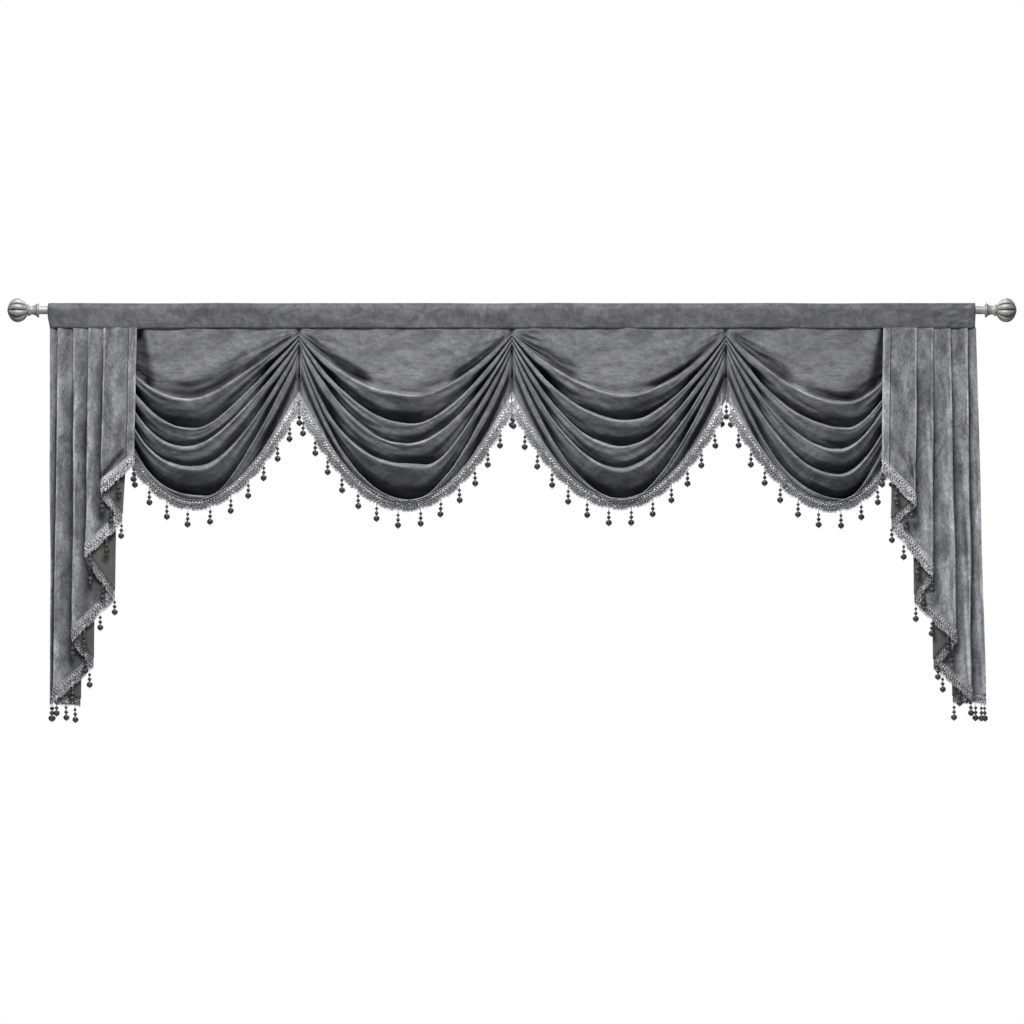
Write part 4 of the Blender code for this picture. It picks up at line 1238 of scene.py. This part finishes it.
GROOVE_DARK, BUTTON_PALE = 1.2, 0.75      # how dark the grooves are, and how bright the painted highlight on the ball's end is
SHARP_ANGLE = math.radians(40)


def finial_stem(name, side, material):
    """The collar and neck, turned about the X axis from (reach, radius) points out from the rod's end."""
    turns = 2.0 * math.pi * np.arange(STEM_STEPS) / STEM_STEPS
    end = side * ROD_HALF
    points = [
        (end + side * reach, radius * math.sin(turn), radius * math.cos(turn))
        for reach, radius in STEM for turn in turns
    ]
    stem = new_object(name, points, ring_faces(len(STEM), STEM_STEPS).tolist(), [material])
    mend(stem.data, weld=True)
    stem.data.set_sharp_from_angle(angle=SHARP_ANGLE)
    return stem


def finial_ball(name, side, material):
    """The ribbed ball: rounded lobes that part in narrow grooves and run together at a small button."""
    points, wear = [], []
    for polar in math.pi * np.arange(BALL_RINGS + 1) / BALL_RINGS:
        z, r = math.cos(polar), math.sin(polar)
        half_length = BALL_OUTER if z > 0 else BALL_INNER
        flare = 1.0 + 0.03 * math.exp(-((1.0 - abs(z)) / 0.04) ** 2)
        for turn in 2.0 * math.pi * np.arange(BALL_STEPS) / BALL_STEPS:
            across = abs(math.sin(RIBS * turn / 2.0 + math.pi / 2))
            radius = BALL_RADIUS * r * (1.0 - GROOVE * (1.0 - math.sqrt(across)) * min(1.0, 2.2 * r))
            reach = BALL_REACH + half_length * z * flare * (0.985 + 0.015 * across)
            points.append((side * (ROD_HALF + reach), radius * math.sin(turn), radius * math.cos(turn)))
            # The ball's outer end gets a painted highlight, and the grooves darken.
            wear.append(BUTTON_PALE * max(z, 0.0) ** 2 - GROOVE_DARK * bell(across, 0.30))
    faces = ring_faces(BALL_RINGS + 1, BALL_STEPS).tolist()
    ball = new_object(name, points, faces, [material], wear=wear)
    mend(ball.data, weld=True)
    return ball


# ---- Studio -----------------------------------------------------------------
PICTURE_WIDTH = 2.759        # width of the view at the drape
VIEW_HEIGHT = -0.545
LENS, SENSOR = 180.0, 36.0
DRAPE_FRONT = 0.030          # how far out the view's width is measured
LIT = (0.0, 0.0, -0.4)       # where the lights point
SKY, WHITE = (0.80, 0.86, 1.0), (1.0, 1.0, 1.0)
DOME_BELOW, DOME_ABOVE = 0.02, 0.15      # the studio's own soft light, from under the drape and from overhead
FLOOR_Z, FLOOR_Y = -2.25, -1.3
FLOOR_RADIUS, FLOOR_SIDES = 2.4, 96


def area_light(name, location, size, power, colour=WHITE):
    light = bpy.data.lights.new(name, "AREA")
    light.shape = "RECTANGLE"
    light.size, light.size_y = size
    light.energy = power
    light.color = colour
    obj = bpy.data.objects.new(name, light)
    obj.location = location
    obj.rotation_euler = (Vector(LIT) - Vector(location)).to_track_quat("-Z", "Y").to_euler()
    bpy.context.scene.collection.objects.link(obj)


def surroundings(tree):
    """Soft light that grows from below to overhead, behind plain white paper."""
    light = tree.nodes["Background"]
    paper = add_node(tree, "Background", {"Color": (*WHITE, 1.0), "Strength": 1.0})
    heading = add_node(tree, "TexCoord", {}).outputs["Generated"]
    height = add_node(tree, "SeparateXYZ", {"Vector": heading}).outputs["Z"]
    dome = {"Value": height, "From Min": -0.5, "To Min": DOME_BELOW, "To Max": DOME_ABOVE}
    light.inputs["Color"].default_value = (*SKY, 1.0)
    tree.links.new(add_node(tree, "MapRange", dome).outputs["Result"], light.inputs["Strength"])
    seen = add_node(tree, "LightPath", {}).outputs["Is Camera Ray"]
    both = {"Fac": seen, 1: light.outputs["Background"], 2: paper.outputs["Background"]}
    shown = add_node(tree, "MixShader", both).outputs["Shader"]
    tree.links.new(shown, tree.nodes["World Output"].inputs["Surface"])


def studio():
    scene = bpy.context.scene
    scene.view_settings.view_transform = "Standard"
    data = bpy.data.cameras.new("camera")
    data.lens, data.sensor_width = LENS, SENSOR
    data.clip_end = 100.0
    camera = bpy.data.objects.new("camera", data)
    camera.location = (0.0, -(PICTURE_WIDTH * LENS / SENSOR + DRAPE_FRONT), VIEW_HEIGHT)
    camera.rotation_euler = (math.pi / 2, 0.0, 0.0)
    scene.collection.objects.link(camera)
    scene.camera = camera

    area_light("key", (-0.4, -2.3, 3.0), (3.0, 0.6), 360.0, (1.0, 0.985, 0.96))
    area_light("fill_left", (-4.2, -2.6, 0.3), (1.2, 1.6), 16.0)
    area_light("fill_right", (4.2, -2.6, 0.3), (1.2, 1.6), 16.0)
    area_light("back", (0.0, 3.2, 1.8), (3.0, 1.0), 220.0)

    scene.world = bpy.data.worlds.new("studio")
    scene.world.use_nodes = True
    surroundings(scene.world.node_tree)

    paper = Finish("floor_paper", (0.80, 0.80, 0.80), 0.9)
    grain = paper.noise("Object", 3.0, detail=2.0)
    paper.feed(Base_Color=paper.ramp(grain, (0.3, 0.78), (0.7, 0.82)))
    turns = 2.0 * math.pi * np.arange(FLOOR_SIDES) / FLOOR_SIDES
    rim = [(FLOOR_RADIUS * math.cos(turn), FLOOR_RADIUS * math.sin(turn), 0.0) for turn in turns]
    floor = new_object("floor", rim, [tuple(range(FLOOR_SIDES))], [paper.material])
    floor.location = (0.0, FLOOR_Y, FLOOR_Z)


# ---- Assembly ---------------------------------------------------------------
def triangles_of(obj):
    """The vertices and faces of an object's evaluated mesh, for casting rays at it."""
    evaluated = obj.evaluated_get(bpy.context.evaluated_depsgraph_get())
    mesh = evaluated.to_mesh()
    vertices = [vertex.co.copy() for vertex in mesh.vertices]
    faces = [tuple(polygon.vertices) for polygon in mesh.polygons]
    evaluated.to_mesh_clear()
    return vertices, faces


def piece(obj, slot, *nodes):
    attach(obj, "root")
    if nodes:
        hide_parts(*nodes)


def heading_piece(back):
    # The heading's velvet is a darker copy of the drape's velvet: a painted shade.
    pile = velvet("velvet_heading", (9.0, 20.0, 20.0), (60.0, 40.0, 40.0), contrast=1.0, shade=0.67)
    points = pocket_points()
    heading = cloth_object("heading", points, pocket_pressing_and_painted_light(points), pile, back)
    piece(heading, "velvet", "rod_pocket")


# The materials of a hem's lace and of its bead drops, and the share of the scallops' knots that are bright,
# as painted glints
Trim = namedtuple("Trim", "lace beads glitter")


def trim_pieces(name, band, first, pitch, count, more, seed, trim):
    """The lace and the bead drops along a hem. more are the drops that hang past the evenly spaced ones."""
    lace = lace_object("lace_" + name, band, first, pitch, count, trim.glitter, trim.lace)
    piece(lace, "lace", "trim_" + name)
    places = np.concatenate([first + pitch * np.arange(count), more])
    drops = drops_object("drops_" + name, band, places, seed, trim.beads)
    piece(drops, "beads")
    return [lace, drops]


def swag_pieces(back, bright):
    pile = velvet("velvet_swag", (8.0, 10.0, 10.0), (40.0, 110.0, 110.0), contrast=0.95)
    thread, string = yarn("lace_thread", (0.215, 0.218, 0.235)), yarn("bead_string", (0.060, 0.061, 0.066))
    net, fan_net = lace_net("lace_net", (0.27, 0.273, 0.295)), lace_net("lace_fan_net", (0.17, 0.172, 0.186))
    glaze = bead_glaze("bead_charcoal", (0.022, 0.023, 0.027))
    trim = Trim((thread, bright, net, fan_net), (thread, bright, glaze, string), 0.14)
    for swag in SWAGS:
        points, wear = swag_points(swag)
        sewn = tucked_up(*with_allowance(swag, points, wear))
        cloth = cloth_object(swag.name + "_cloth", *sewn, pile, back)
        piece(cloth, "velvet", swag.name)
        band = swag_band(swag, points, triangles_of(cloth))
        sewn_on = trim_pieces(swag.name, band, swag.first_bead, swag.pitch, swag.beads, [], swag.seed, trim)


def tail_pieces(back, bright):
    pile = velvet("velvet_tail", (15.0, 9.0, 9.0), (240.0, 110.0, 110.0), contrast=1.45)
    # The tails' lace threads, strings and beads are paler copies of the swags' ones, a painted light, and the
    # net in their fans is painted dark, a painted shade behind the lace.
    thread = yarn("lace_pale_thread", (0.48, 0.483, 0.51))
    string = yarn("bead_pale_string", (0.40, 0.403, 0.43), 0.5)
    net = lace_net("lace_pale_net", (0.38, 0.383, 0.41))
    fan_net = lace_net("lace_dark_net", (0.10, 0.101, 0.110))
    glaze = bead_glaze("bead_grey", (0.028, 0.029, 0.033))
    trim = Trim((thread, bright, net, fan_net), (thread, bright, glaze, string), 0.60)
    for number, (name, (side, folds)) in enumerate(TAILS.items()):
        points, wear = tail_points(name, side, folds, 70 + 20 * number)
        cloth = cloth_object(name + "_cloth", *tucked_up(points, wear), pile, back)
        piece(cloth, "velvet", name)
        band = tail_band(points)
        length = band.length[-1]
        span = TAIL_BEAD_PITCH * (TAIL_BEADS - 1)
        first = TAIL_BEAD_FIRST if side > 0 else length - TAIL_BEAD_FIRST - span
        foot = length - TAIL_FOOT_BEADS if side > 0 else TAIL_FOOT_BEADS
        sewn_on = trim_pieces(name, band, first, TAIL_BEAD_PITCH, TAIL_BEADS, foot, 90 + number, trim)


def rod_and_finials():
    turned = nickel("nickel_turned", (2200.0, 60.0, 60.0))
    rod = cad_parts["rod"]
    rod.data.materials.clear()
    rod.data.materials.append(nickel("nickel_drawn", (40.0, 1500.0, 1500.0)))
    rod.data.shade_smooth()
    rod.data.set_sharp_from_angle(angle=SHARP_ANGLE)
    for side, end in ((-1, "left"), (1, "right")):
        piece(finial_stem("finial_stem_" + end, side, turned), "nickel", "finial_" + end)
        piece(finial_ball("finial_ball_" + end, side, turned), "nickel", "finial_" + end)


def main():
    studio()
    back = reverse()
    # Bright thread: painted glints on the lace's knots, and the drops' pale stops.
    bright = yarn("lace_bright_thread", (0.74, 0.745, 0.77), 0.4, 0.2)
    heading_piece(back)
    swag_pieces(back, bright)
    tail_pieces(back, bright)
    rod_and_finials()


main()
